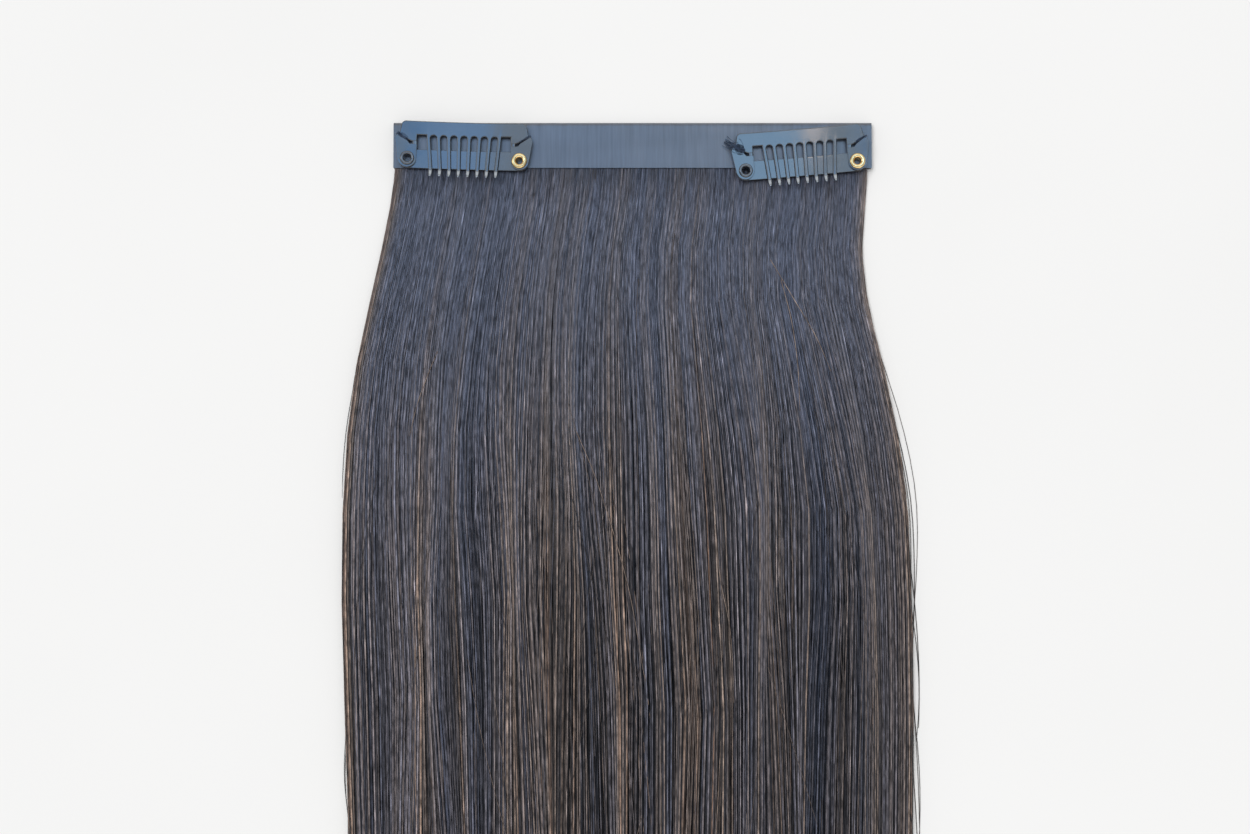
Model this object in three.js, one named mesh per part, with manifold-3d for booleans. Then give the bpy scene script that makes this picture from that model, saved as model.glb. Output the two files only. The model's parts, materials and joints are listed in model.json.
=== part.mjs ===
// Clip-in hair extension: a straight weft of hair, sealed in a folded film band with two snap clips.
// Millimetres. +X runs along the band, +Y from the hair's tips to the band, +Z up from what it lies on.
// The origin is on that surface, under the middle of the band.
import * as THREE from 'three';
import { mergeVertices } from 'three/addons/utils/BufferGeometryUtils.js';
import Module from 'manifold-3d';

const wasm = await Module();
wasm.setup();

// Driving dimensions of the band: one film, folded at the top edge, that holds the roots in its slot
const BAND_WIDTH = 120;
const BAND_HEIGHT = 11.5;
const FILM = 0.4;
const ROOT_SLOT = 1.0;
const BAND_THICKNESS = 2 * FILM + ROOT_SLOT;
const BAND_TOP = BAND_HEIGHT / 2;
const SEAT_GAP = 0.3;

// Driving dimensions of the hair: its length from the band's top edge, and the sheet of roots
const HAIR_LENGTH = 355;
const ROOT_SHEET = 0.5;
const ROOT_MARGIN = 1.0;
const TIP_Y = BAND_TOP - HAIR_LENGTH;

// The hair's outline seen from above and its depth, from the band to where the tips begin to taper
const HAIR_SECTIONS = [
  { y: -BAND_TOP - SEAT_GAP, left: -59.6, right: 59.0, depth: 1.5 },
  { y: -13, left: -60.6, right: 58.7, depth: 1.6 },
  { y: -24, left: -62.6, right: 57.6, depth: 2.3 },
  { y: -38, left: -65.6, right: 58.6, depth: 3.0 },
  { y: -52, left: -68.6, right: 62.0, depth: 3.5 },
  { y: -69, left: -71.0, right: 65.6, depth: 3.8 },
  { y: -87, left: -72.2, right: 68.3, depth: 4.0 },
  { y: -107, left: -72.6, right: 69.3, depth: 4.1 },
  { y: -135, left: -71.8, right: 69.8, depth: 4.1 },
  { y: -172, left: -70.4, right: 69.4, depth: 4.0 },
  { y: -215, left: -68.8, right: 68.2, depth: 3.7 },
  { y: -262, left: -66.8, right: 66.3, depth: 3.2 },
  { y: -306, left: -64.6, right: 64.2, depth: 2.6 },
];

// Each lock tapers over its last stretch, to these shares of its width and depth
const TIP_SECTIONS = [
  { along: 0.55, width: 0.84, depth: 0.75 },
  { along: 1.0, width: 0.45, depth: 0.35 },
];

// Locks differ in width and depth by these shares, and in length by this much, in a fixed rhythm
const LOCK_COUNT = 20;
const LOCK_OVERLAP = 1.65;
const LOCK_TOP_STEPS = 6;
const LOCK_FULLNESS = 0.6;
const LOCK_WIDTH_VARIATION = 0.35;
const LOCK_DEPTH_VARIATION = 0.12;
const TIP_VARIATION = 9;
const WIDTH_RHYTHM = 2.4;
const DEPTH_RHYTHM = 4.8;
const TIP_RHYTHM = 7.2;

// Driving dimensions of a snap clip, seen from above, with its two rivets on its own X axis
const SHEET = 0.6;
const STRAP = 0.5;
const SHEET_GAP = 0.15;
const CLIP_ARCH = 0.9;
const CLIP_HALF_WIDTH = 17.2;
const RIVET_X = 14.1;
const BAR_TOP = 9.4;
const BAR_BOTTOM = 5.9;
const BAR_HALF_TOP = 15.7;
const BAR_HALF_BOTTOM = 16.2;
const BAR_CORNER = 1.2;
const ARCH_STRIPS = 11;
const SLAB_HALF_WIDTH = CLIP_HALF_WIDTH + 1;

// Teeth: they lean together a little from their roots in the bar to their upturned tips
const TOOTH_COUNT = 8;
const TOOTH_WIDTH = 0.95;
const TOOTH_ROOT_PITCH = 2.54;
const TOOTH_TIP_PITCH = 2.34;
const TOOTH_TIP_Y = -4.5;
const CURL_START_Y = -2.4;
const CURL_RISE = 1.1;
const CURL_STEPS = 3;
const TIP_NARROWING = 0.7;

// The end lobes meet the comb at two necks, where the sheet flexes as the clip snaps open
const NECK_Y = 3.9;
const NECK_GAP = 0.6;
const WINDOW_X = 11.7;
const SLIT_WIDTH = 0.55;
const NOTCH = { x: 13.5, y: NECK_Y + 0.35, radius: 0.65 };
const LOBE_RADIUS = 2.3;
const LOBE_SHOULDER_Y = 5.0;
const LOBE_ARC_START = THREE.MathUtils.degToRad(11);
const STRAP_HALF_HEIGHT = 2.35;
const RIVET_HOLE = 1.4;
const HOLE_STEPS = 12;
const CORNER_STEPS = 4;

// The two eyelets that rivet the lobes to the strap: a brass one and a flatter black one
const EYELETS = [
  { finish: 'brass', x: RIVET_X, flange: 1.9, rise: 0.6, bore: 0.85 },
  { finish: 'black', x: -RIVET_X, flange: 1.75, rise: 0.45, bore: 1.05 },
];
const EYELET_BARREL = 1.25;
const EYELET_FOOT = 1.75;
const EYELET_FOOT_HEIGHT = 0.3;
const EYELET_PLAY = 0.1;
const EYELET_SIDES = 16;

// Heights of a clip's layers at its middle
const STRAP_Z = BAND_THICKNESS + SEAT_GAP;
const SHEET_Z = STRAP_Z + STRAP + SHEET_GAP;

// Where the clips sit on the band: the middle of each rivet line and its turn in degrees
const CLIPS = [
  { name: 'clip_left', x: -42.3, y: -4.0, turn: -1.65 },
  { name: 'clip_right', x: 42.2, y: -5.6, turn: 4.9 },
];

const MATERIALS = {
  film: new THREE.MeshStandardMaterial({ color: 0x2c3442, roughness: 0.35, metalness: 0 }),
  hair: new THREE.MeshStandardMaterial({ color: 0x2b211d, roughness: 0.5, metalness: 0 }),
  enamel: new THREE.MeshStandardMaterial({ color: 0x1e242c, roughness: 0.35, metalness: 0.3 }),
  brass: new THREE.MeshStandardMaterial({ color: 0xc8a24a, roughness: 0.25, metalness: 1 }),
};

// A closed mesh as a solid that can be joined to others.
function toSolid(geometry) {
  const bare = geometry.clone();
  bare.deleteAttribute('normal');
  bare.deleteAttribute('uv');
  const merged = mergeVertices(bare, 1e-4);
  return new wasm.Manifold(new wasm.Mesh({
    numProp: 3,
    vertProperties: merged.attributes.position.array,
    triVerts: new Uint32Array(merged.index.array),
  }));
}

// A joined solid as a geometry again.
function toGeometry(solid) {
  const mesh = solid.getMesh();
  const geometry = new THREE.BufferGeometry();
  geometry.setAttribute('position', new THREE.BufferAttribute(mesh.vertProperties, 3));
  geometry.setIndex(new THREE.BufferAttribute(mesh.triVerts, 1));
  geometry.computeVertexNormals();
  return geometry;
}

function named(name, geometry, material) {
  const mesh = new THREE.Mesh(geometry, material);
  mesh.name = name;
  return mesh;
}

// Points round an arc about a middle, from one angle to another.
function arcPoints(x, y, radius, from, to, steps) {
  return Array.from({ length: steps + 1 }, (_, i) => {
    const angle = THREE.MathUtils.lerp(from, to, i / steps);
    return new THREE.Vector2(x + radius * Math.cos(angle), y + radius * Math.sin(angle));
  });
}

// A closed loft through rings of points that all have the same count.
function loftRings(rings) {
  const sides = rings[0].length;
  const index = [];
  for (let r = 0; r + 1 < rings.length; r += 1) {
    for (let i = 0; i < sides; i += 1) {
      const a = r * sides + i;
      const b = r * sides + (i + 1) % sides;
      index.push(a, b, b + sides, a, b + sides, a + sides);
    }
  }
  const last = (rings.length - 1) * sides;
  for (let i = 1; i + 1 < sides; i += 1) {
    index.push(0, i + 1, i);
    index.push(last, last + i, last + i + 1);
  }
  const geometry = new THREE.BufferGeometry().setFromPoints(rings.flat());
  geometry.setIndex(index);
  return geometry;
}

// The folded film: a U in section, open towards the hair.
function buildBand() {
  const section = new THREE.Shape();
  section.moveTo(-BAND_TOP, 0);
  section.lineTo(BAND_TOP - FILM, 0);
  section.lineTo(BAND_TOP, FILM);
  section.lineTo(BAND_TOP, BAND_THICKNESS - FILM);
  section.lineTo(BAND_TOP - FILM, BAND_THICKNESS);
  section.lineTo(-BAND_TOP, BAND_THICKNESS);
  section.lineTo(-BAND_TOP, BAND_THICKNESS - FILM);
  section.lineTo(BAND_TOP - 2 * FILM, BAND_THICKNESS - FILM);
  section.lineTo(BAND_TOP - 2 * FILM, FILM);
  section.lineTo(-BAND_TOP, FILM);
  section.closePath();
  const geometry = new THREE.ExtrudeGeometry(section, { depth: BAND_WIDTH, bevelEnabled: false });
  geometry.rotateX(Math.PI / 2).rotateZ(Math.PI / 2).translate(-BAND_WIDTH / 2, 0, 0);
  return named('weft_band', geometry, MATERIALS.film);
}

// Where each lock begins and ends across the curtain, as shares of the curtain's width.
function lockEdges() {
  const edges = [0];
  for (let i = 0; i < LOCK_COUNT; i += 1) {
    edges.push(edges[i] + 1 + LOCK_WIDTH_VARIATION * Math.sin(WIDTH_RHYTHM * i));
  }
  return edges.map((edge) => edge / edges[LOCK_COUNT]);
}

// A lock's middle and half width at a row of the outline: it overlaps its neighbours and stays inside.
function lockPlace(row, begin, end) {
  const span = row.right - row.left;
  const halfWidth = span * (end - begin) / 2 * LOCK_OVERLAP;
  const middle = row.left + span * (begin + end) / 2;
  const inside = THREE.MathUtils.clamp(middle, row.left + halfWidth, row.right - halfWidth);
  return { middle: inside, halfWidth };
}

// One ring of a lock: a flat underside on the surface and a full, rounded top.
function lockRing({ middle, halfWidth }, y, widthShare, depth) {
  const ring = [];
  for (let i = 0; i <= LOCK_TOP_STEPS; i += 1) {
    const angle = Math.PI * i / LOCK_TOP_STEPS;
    const x = middle + halfWidth * widthShare * Math.cos(angle);
    const height = i % LOCK_TOP_STEPS ? depth * Math.sin(angle) ** LOCK_FULLNESS : 0;
    ring.push(new THREE.Vector3(x, y, height));
  }
  return ring;
}

// One lock of the curtain, from the band to its own tip.
function lockSolid(i, begin, end) {
  const depthShare = 1 + LOCK_DEPTH_VARIATION * Math.sin(DEPTH_RHYTHM * i);
  const rings = HAIR_SECTIONS.map((row, r) => {
    const depth = r ? row.depth * depthShare : row.depth;
    return lockRing(lockPlace(row, begin, end), row.y, 1, depth);
  });
  const last = HAIR_SECTIONS.at(-1);
  const tipY = TIP_Y + TIP_VARIATION * (1 + Math.sin(TIP_RHYTHM * i)) / 2;
  for (const tip of TIP_SECTIONS) {
    const y = THREE.MathUtils.lerp(last.y, tipY, tip.along);
    rings.push(lockRing(lockPlace(last, begin, end), y, tip.width, last.depth * depthShare * tip.depth));
  }
  return toSolid(loftRings(rings));
}

// The curtain: all locks fused to the sheet of roots that runs up into the band's slot.
function buildHair() {
  const [root] = HAIR_SECTIONS;
  const foot = root.y - 2 * SEAT_GAP;
  const head = BAND_TOP - 2 * FILM - SEAT_GAP;
  const sheet = new THREE.BoxGeometry(root.right - root.left - 2 * ROOT_MARGIN, head - foot, ROOT_SHEET);
  sheet.translate((root.left + root.right) / 2, (head + foot) / 2, BAND_THICKNESS / 2);
  const edges = lockEdges();
  let solid = toSolid(sheet);
  for (let i = 0; i < LOCK_COUNT; i += 1) {
    solid = solid.add(lockSolid(i, edges[i], edges[i + 1]));
  }
  return named('hair', toGeometry(solid), MATERIALS.hair);
}

// Height that a clip's sheet gains from its middle to its ends.
function archAt(x) {
  return CLIP_ARCH * (x / CLIP_HALF_WIDTH) ** 2;
}

// Slope of the arch at a place along the clip.
function archSlopeAt(x) {
  return 2 * CLIP_ARCH * x / CLIP_HALF_WIDTH ** 2;
}

// Height that a tooth gains in its upturned tip.
function curlAt(y) {
  const share = Math.max(0, (CURL_START_Y - y) / (CURL_START_Y - TOOTH_TIP_Y));
  return CURL_RISE * share ** 2;
}

// Sheet of a thickness over the whole clip, arched in flat strips, with its underside at a height.
function archedSlab(z, thickness) {
  const strip = 2 * SLAB_HALF_WIDTH / ARCH_STRIPS;
  const edges = Array.from({ length: ARCH_STRIPS + 1 }, (_, i) => i * strip - SLAB_HALF_WIDTH);
  const underside = edges.map((x) => new THREE.Vector2(x, z + archAt(x)));
  const topside = edges.map((x) => new THREE.Vector2(x, z + archAt(x) + thickness));
  const profile = new THREE.Shape([...underside, ...topside.toReversed()]);
  const geometry = new THREE.ExtrudeGeometry(profile, { depth: 2 * SLAB_HALF_WIDTH, bevelEnabled: false });
  return geometry.rotateX(Math.PI / 2).translate(0, SLAB_HALF_WIDTH, 0);
}

// A flat outline cut out of arched sheet. Teeth that reach below the strap turn up.
function archedSheet(shape, z, thickness) {
  const options = { depth: 2 * SLAB_HALF_WIDTH, bevelEnabled: false, curveSegments: HOLE_STEPS };
  const cutter = new THREE.ExtrudeGeometry(shape, options).translate(0, 0, -SLAB_HALF_WIDTH);
  const geometry = toGeometry(toSolid(archedSlab(z, thickness)).intersect(toSolid(cutter)));
  const position = geometry.attributes.position;
  for (let i = 0; i < position.count; i += 1) {
    position.setZ(i, position.getZ(i) + curlAt(position.getY(i)));
  }
  return geometry;
}

// One tooth of the comb's outline, down its left side, round its tip and up its right side.
function toothPoints(tipX) {
  const half = TOOTH_WIDTH / 2;
  const curl = CURL_START_Y - TOOTH_TIP_Y;
  const left = Array.from({ length: CURL_STEPS }, (_, i) => {
    return new THREE.Vector2(-half, CURL_START_Y - curl * i / CURL_STEPS);
  });
  left.push(new THREE.Vector2(-half * TIP_NARROWING, TOOTH_TIP_Y));
  const right = left.toReversed().map(({ x, y }) => new THREE.Vector2(-x, y));
  return [...left, ...right].map(({ x, y }) => new THREE.Vector2(tipX + x, y));
}

// The right end of the comb's outline, from its window round the neck and the slit to the bar's top.
function combEndPoints() {
  const neckTop = NECK_Y + NECK_GAP / 2;
  const corner = { x: BAR_HALF_TOP - BAR_CORNER, y: BAR_TOP - BAR_CORNER };
  return [
    new THREE.Vector2(WINDOW_X, BAR_BOTTOM),
    new THREE.Vector2(WINDOW_X, neckTop),
    new THREE.Vector2(NOTCH.x - NOTCH.radius, neckTop),
    new THREE.Vector2(NOTCH.x, NOTCH.y + NOTCH.radius),
    new THREE.Vector2(BAR_HALF_BOTTOM, BAR_BOTTOM + SLIT_WIDTH),
    ...arcPoints(corner.x, corner.y, BAR_CORNER, 0, Math.PI / 2, CORNER_STEPS),
  ];
}

// The comb: the arched bar, its teeth with round slots between them, and a stub at each neck.
function combShape() {
  const middle = (TOOTH_COUNT - 1) / 2;
  const slotRadius = (TOOTH_ROOT_PITCH - TOOTH_WIDTH) / 2;
  const outerRoot = middle * TOOTH_ROOT_PITCH + TOOTH_WIDTH / 2;
  const points = [new THREE.Vector2(-outerRoot, BAR_BOTTOM)];
  for (let i = 0; i < TOOTH_COUNT; i += 1) {
    points.push(...toothPoints((i - middle) * TOOTH_TIP_PITCH));
    if (i + 1 < TOOTH_COUNT) {
      const slotX = (i + 0.5 - middle) * TOOTH_ROOT_PITCH;
      points.push(...arcPoints(slotX, BAR_BOTTOM - slotRadius, slotRadius, Math.PI, 0, CORNER_STEPS));
    }
  }
  points.push(new THREE.Vector2(outerRoot, BAR_BOTTOM));
  const rightEnd = combEndPoints();
  const leftEnd = rightEnd.toReversed().map(({ x, y }) => new THREE.Vector2(-x, y));
  return new THREE.Shape([...points, ...rightEnd, ...leftEnd]);
}

// A round hole for a rivet, drawn the other way round from the outline that it is cut in.
function rivetHole(x, clockwise) {
  return new THREE.Path().absarc(x, 0, RIVET_HOLE, 0, 2 * Math.PI, clockwise);
}

// An end lobe, on the side that its sign gives, from the neck round the rivet to the slit.
function lobeShape(side) {
  const neckBottom = NECK_Y - NECK_GAP / 2;
  const points = [
    new THREE.Vector2(WINDOW_X, neckBottom),
    new THREE.Vector2(NOTCH.x - NOTCH.radius, neckBottom),
    new THREE.Vector2(NOTCH.x, NOTCH.y - NOTCH.radius),
    new THREE.Vector2(NOTCH.x + NOTCH.radius, NOTCH.y - NOTCH.radius / 2),
    new THREE.Vector2(CLIP_HALF_WIDTH - SLIT_WIDTH, LOBE_SHOULDER_Y + SLIT_WIDTH),
    new THREE.Vector2(CLIP_HALF_WIDTH, LOBE_SHOULDER_Y),
    ...arcPoints(RIVET_X, 0, LOBE_RADIUS, -LOBE_ARC_START, LOBE_ARC_START - Math.PI, HOLE_STEPS),
  ];
  const shape = new THREE.Shape(points.map(({ x, y }) => new THREE.Vector2(side * x, y)));
  shape.holes.push(rivetHole(side * RIVET_X, side < 0));
  return shape;
}

// The strap that the teeth close on: a long strip with round ends, riveted at both.
function strapShape() {
  const shape = new THREE.Shape();
  const quarter = Math.PI / 2;
  shape.moveTo(-RIVET_X, -STRAP_HALF_HEIGHT);
  shape.absarc(RIVET_X, 0, STRAP_HALF_HEIGHT, -quarter, quarter, false);
  shape.absarc(-RIVET_X, 0, STRAP_HALF_HEIGHT, quarter, 3 * quarter, false);
  shape.holes.push(rivetHole(RIVET_X, true), rivetHole(-RIVET_X, true));
  return shape;
}

// An eyelet, turned about its own axis: a domed flange over the lobe, a barrel and a foot under the strap.
function buildEyelet(name, { finish, x, flange, rise, bore }) {
  const flangeZ = STRAP + SHEET_GAP + SHEET + EYELET_PLAY;
  const footTop = -EYELET_PLAY;
  const footZ = footTop - EYELET_FOOT_HEIGHT;
  const dome = arcPoints((flange + bore) / 2, 0, (flange - bore) / 2, 0, Math.PI, CORNER_STEPS);
  const flattening = rise / ((flange - bore) / 2);
  const profile = [
    new THREE.Vector2(bore, footZ),
    new THREE.Vector2(EYELET_FOOT, footZ),
    new THREE.Vector2(EYELET_FOOT, footTop),
    new THREE.Vector2(EYELET_BARREL, footTop),
    new THREE.Vector2(EYELET_BARREL, flangeZ),
    ...dome.map((point) => new THREE.Vector2(point.x, flangeZ + point.y * flattening)),
    new THREE.Vector2(bore, footZ),
  ];
  const geometry = new THREE.LatheGeometry(profile, EYELET_SIDES);
  geometry.rotateX(Math.PI / 2);
  const mesh = named(name, geometry, finish === 'brass' ? MATERIALS.brass : MATERIALS.enamel);
  mesh.position.set(x, 0, STRAP_Z + archAt(x));
  mesh.rotation.y = -Math.atan(archSlopeAt(x));
  return mesh;
}

// A snap clip: the comb that swings up, and the base of strap, lobes and eyelets that it closes on.
function buildClip({ name, x, y, turn }) {
  const comb = named(`${name}_comb`, archedSheet(combShape(), SHEET_Z, SHEET), MATERIALS.enamel);
  const base = new THREE.Group();
  base.add(named(`${name}_strap`, archedSheet(strapShape(), STRAP_Z, STRAP), MATERIALS.enamel));
  for (const [end, side] of [['outer', Math.sign(x)], ['inner', -Math.sign(x)]]) {
    const lobe = archedSheet(lobeShape(side), SHEET_Z, SHEET);
    base.add(named(`${name}_lobe_${end}`, lobe, MATERIALS.enamel));
  }
  for (const eyelet of EYELETS) {
    base.add(buildEyelet(`${name}_eyelet_${eyelet.finish}`, eyelet));
  }
  const clip = new THREE.Group();
  clip.add(comb, base);
  clip.position.set(x, y, 0);
  clip.rotation.z = THREE.MathUtils.degToRad(turn);
  return clip;
}

const extension = new THREE.Group();
extension.add(buildBand(), buildHair(), ...CLIPS.map(buildClip));

export default extension;
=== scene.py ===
"""Looks of a clip-in hair extension: its film band, its curtain of single hairs and its two snap clips.

Sizes in the classes are millimetres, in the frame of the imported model: +X runs along the band, +Y from the
hair's tips to the band, +Z up from the surface that the extension lies on. Meshes are written in metres.
"""

from __future__ import annotations

import json
import logging
import math
from collections.abc import Iterable, Sequence
from dataclasses import dataclass, field
from enum import Enum
from itertools import product
from typing import NamedTuple

import bmesh
import bpy
import numpy as np
from mathutils import Matrix, Vector

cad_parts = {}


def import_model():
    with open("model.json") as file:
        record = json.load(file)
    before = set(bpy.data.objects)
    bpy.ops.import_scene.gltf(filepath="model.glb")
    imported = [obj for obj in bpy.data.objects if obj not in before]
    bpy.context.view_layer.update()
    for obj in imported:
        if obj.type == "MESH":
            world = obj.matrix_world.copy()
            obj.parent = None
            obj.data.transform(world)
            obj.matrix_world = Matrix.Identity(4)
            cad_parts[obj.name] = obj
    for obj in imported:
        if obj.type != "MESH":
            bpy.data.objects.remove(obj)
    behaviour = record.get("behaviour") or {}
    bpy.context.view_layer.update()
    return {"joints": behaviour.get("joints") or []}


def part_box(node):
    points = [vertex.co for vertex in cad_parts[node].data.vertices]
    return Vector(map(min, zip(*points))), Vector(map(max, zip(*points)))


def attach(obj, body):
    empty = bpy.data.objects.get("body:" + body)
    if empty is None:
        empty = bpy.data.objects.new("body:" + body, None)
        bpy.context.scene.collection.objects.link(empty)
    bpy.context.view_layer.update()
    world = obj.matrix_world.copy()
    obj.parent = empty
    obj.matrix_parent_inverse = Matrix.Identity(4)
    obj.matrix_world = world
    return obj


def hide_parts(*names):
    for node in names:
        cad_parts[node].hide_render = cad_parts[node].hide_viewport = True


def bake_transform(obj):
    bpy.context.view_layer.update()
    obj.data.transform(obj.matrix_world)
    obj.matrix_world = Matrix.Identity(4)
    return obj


LOG = logging.getLogger("hair_extension")
MM = 0.001
TO_METRES = Matrix.Scale(MM, 4)
UP = np.array((0.0, 0.0, 1.0))
FULL_TURN = 2 * math.pi

# Attributes that the finishes read, and the step between strands in the pattern along them
TONE_ATTRIBUTE = "tone"
FLOW_ATTRIBUTE = "flow"
# Bare steel: real wear at the teeth's tips, and a painted highlight on the black eyelet's crest.
WEAR_AND_HIGHLIGHT_ATTRIBUTE = "bare"
KIN_STEP = 7.31

# The map that the export bakes to, and the shares that a strand's strip in it leaves free
BAKE_UV = "OFBake"
STRIP_MARGIN = 0.1
STRIP_END = 0.02

# Distance at which points join, and angles from which an edge is rounded or stays sharp
WELD = 1e-4
BEVEL_FROM_DEG = 40.0
CREASE_DEG = 50.0

# The curtain's middle as a share of its width
MIDDLE = 0.5

Rgb = tuple[float, float, float]
Span = tuple[float, float]


class Slot(Enum):
    """Material slots of the record."""

    FILM = "film"
    HAIR = "hair"
    ENAMEL = "enamel"
    BRASS = "brass"


class ClipSide(Enum):
    """The two clips on the band, by the start of their names in the frame."""

    LEFT = "clip_left"
    RIGHT = "clip_right"


class ClipEnd(Enum):
    """The two ends of a clip, with the sign of their place along it."""

    BLACK = -1
    BRASS = 1


# Shader maths


class Shade:
    """An output socket that takes part in Python expressions on values."""

    def __init__(self, nodes: Nodes, socket: bpy.types.NodeSocket) -> None:
        """Keeps the node tree that the socket belongs to."""
        self.nodes = nodes
        self.socket = socket

    def _math(self, operation: str, first: Value, second: Value) -> Shade:
        """Adds one Math node."""
        return self.nodes.node("ShaderNodeMath", {0: first, 1: second}, operation=operation)

    def __add__(self, other: Value) -> Shade:
        """Sum of two values."""
        return self._math("ADD", self, other)

    def __radd__(self, other: Value) -> Shade:
        """Sum with a plain number on the left."""
        return self._math("ADD", other, self)

    def __sub__(self, other: Value) -> Shade:
        """Difference of two values."""
        return self._math("SUBTRACT", self, other)

    def __rsub__(self, other: Value) -> Shade:
        """Difference with a plain number on the left."""
        return self._math("SUBTRACT", other, self)

    def __mul__(self, other: Value) -> Shade:
        """Product of two values."""
        return self._math("MULTIPLY", self, other)

    def __rmul__(self, other: Value) -> Shade:
        """Product with a plain number on the left."""
        return self._math("MULTIPLY", other, self)


Value = Shade | float


class Nodes:
    """A node tree in the making."""

    def __init__(self, tree: bpy.types.NodeTree) -> None:
        """Keeps the tree."""
        self.tree = tree

    def node(
        self,
        kind: str,
        inputs: dict[str | int, object] | None = None,
        output: str | int = 0,
        stops: Sequence[tuple[float, Rgb]] = (),
        **settings: object,
    ) -> Shade:
        """Adds a node of any type.

        Args:
            kind: Blender's name of the node's type.
            inputs: Values or links of its sockets, by name or number.
            output: The socket that the result stands for.
            stops: Places and colours of a colour ramp's two ends.
            settings: Properties of the node, set before its sockets.

        Returns:
            The output socket, ready for expressions.
        """
        node = self.tree.nodes.new(kind)
        for name, setting in settings.items():
            setattr(node, name, setting)
        for number, (place, colour) in enumerate(stops):
            stop = node.color_ramp.elements[number]
            stop.position, stop.color = place, (*colour, 1.0)
        for key, value in (inputs or {}).items():
            self.feed(node.inputs[key], value)
        return Shade(self, node.outputs[output])

    def feed(self, socket: bpy.types.NodeSocket, value: object) -> None:
        """Links a socket, or sets its own value.

        Args:
            socket: An input socket.
            value: What it gets: a result of other nodes, or a plain value.
        """
        if isinstance(value, Shade):
            self.tree.links.new(value.socket, socket)
        else:
            socket.default_value = value


class Relief(NamedTuple):
    """A bump: its strength, and how high it stands in millimetres."""

    strength: float
    height: float


class Paint(Nodes):
    """A material in the making: one Principled shader and the nodes that feed it."""

    def __init__(self, name: str) -> None:
        """Starts an empty material with a Principled shader on its output.

        Args:
            name: The material's name.
        """
        self.material = bpy.data.materials.new(name)
        self.material.use_nodes = True
        super().__init__(self.material.node_tree)
        self.tree.nodes.clear()
        self.shader = self.tree.nodes.new("ShaderNodeBsdfPrincipled")
        output = self.tree.nodes.new("ShaderNodeOutputMaterial")
        self.tree.links.new(self.shader.outputs["BSDF"], output.inputs["Surface"])

    def surface(self, **inputs: object) -> bpy.types.Material:
        """Feeds the shader's sockets.

        Args:
            inputs: Values or links by socket name, with underscores for the spaces.

        Returns:
            The finished material.
        """
        for name, value in inputs.items():
            self.feed(self.shader.inputs[name.replace("_", " ")], value)
        return self.material

    def attribute(self, name: str, output: str) -> Shade:
        """An attribute of the mesh."""
        return self.node("ShaderNodeAttribute", output=output, attribute_name=name)

    def noise(
        self, scale: Rgb, detail: float = 2.0, roughness: float = 0.5, source: Shade | None = None
    ) -> Shade:
        """Noise on stretched coordinates.

        Args:
            scale: How often it repeats in a metre, on each axis.
            detail: Number of finer layers.
            roughness: Strength of each finer layer.
            source: The coordinates, or the object's own if there are none.

        Returns:
            Values about one half.
        """
        coordinates = source or self.node("ShaderNodeTexCoord", output="Object")
        place = self.node("ShaderNodeMapping", {"Vector": coordinates, "Scale": scale})
        sockets = {"Vector": place, "Scale": 1.0, "Detail": detail, "Roughness": roughness}
        return self.node("ShaderNodeTexNoise", sockets)

    def ramp(self, value: Shade, span: Span, dark: Rgb, light: Rgb) -> Shade:
        """Colours along a span of a value, from a first one to a second."""
        return self.node("ShaderNodeValToRGB", {"Fac": value}, stops=list(zip(span, (dark, light))))

    def spread(self, value: Shade, span: Span) -> Shade:
        """Stretches a narrow span of a value to the range from 0 to 1."""
        sockets = {"Value": value, "From Min": span[0], "From Max": span[1]}
        return self.node("ShaderNodeMapRange", sockets, clamp=True)

    def mix(self, factor: Value, first: Shade | Rgb, second: Shade | Rgb) -> Shade:
        """Mixes two colours."""
        a, b = (c if isinstance(c, Shade) else (*c, 1.0) for c in (first, second))
        return self.node("ShaderNodeMix", {0: factor, 6: a, 7: b}, output=2, data_type="RGBA")

    def scaled(self, colour: Shade, factor: Shade) -> Shade:
        """A colour made lighter or darker by a factor."""
        return self.node("ShaderNodeVectorMath", {0: colour, "Scale": factor}, operation="SCALE")

    def bump(self, height: Shade, relief: Relief) -> Shade:
        """A normal that follows a height."""
        sockets = {"Strength": relief.strength, "Distance": relief.height * MM, "Height": height}
        return self.node("ShaderNodeBump", sockets, output="Normal")


# Finishes


@dataclass(frozen=True)
class StrandFinish:
    """Single hairs: each has its own tone, with painted light along it: lighter and darker stretches, and
    glints.
    """

    lit_streak_scale: Rgb = (1.0, 300.0, 1.0)
    lit_streak_span: Span = (0.33, 0.67)
    lit_streak_gain: float = 1.1
    lit_streak_polish: float = 0.14
    glint_scale: Rgb = (1.7, 110.0, 1.7)
    glint_span: Span = (0.62, 0.76)
    glint_gain: float = 1.5
    faintest: float = 0.47
    roughness: float = 0.38
    specular: float = 0.35

    def material(self) -> bpy.types.Material:
        """Makes the material.

        Returns:
            The finished material.
        """
        paint = Paint("hair_strands")
        tone = paint.attribute(TONE_ATTRIBUTE, "Color")
        flow = paint.attribute(FLOW_ATTRIBUTE, "Vector")
        # Painted light along each hair: lighter and darker stretches, and bright painted glints.
        lit_streak = paint.spread(paint.noise(self.lit_streak_scale, source=flow), self.lit_streak_span)
        glint = paint.spread(paint.noise(self.glint_scale, source=flow), self.glint_span)
        shade = lit_streak * self.lit_streak_gain + glint * self.glint_gain + self.faintest
        return paint.surface(
            Base_Color=paint.scaled(tone, shade),
            Roughness=self.roughness - lit_streak * self.lit_streak_polish,
            Specular_IOR_Level=self.specular,
        )


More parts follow.
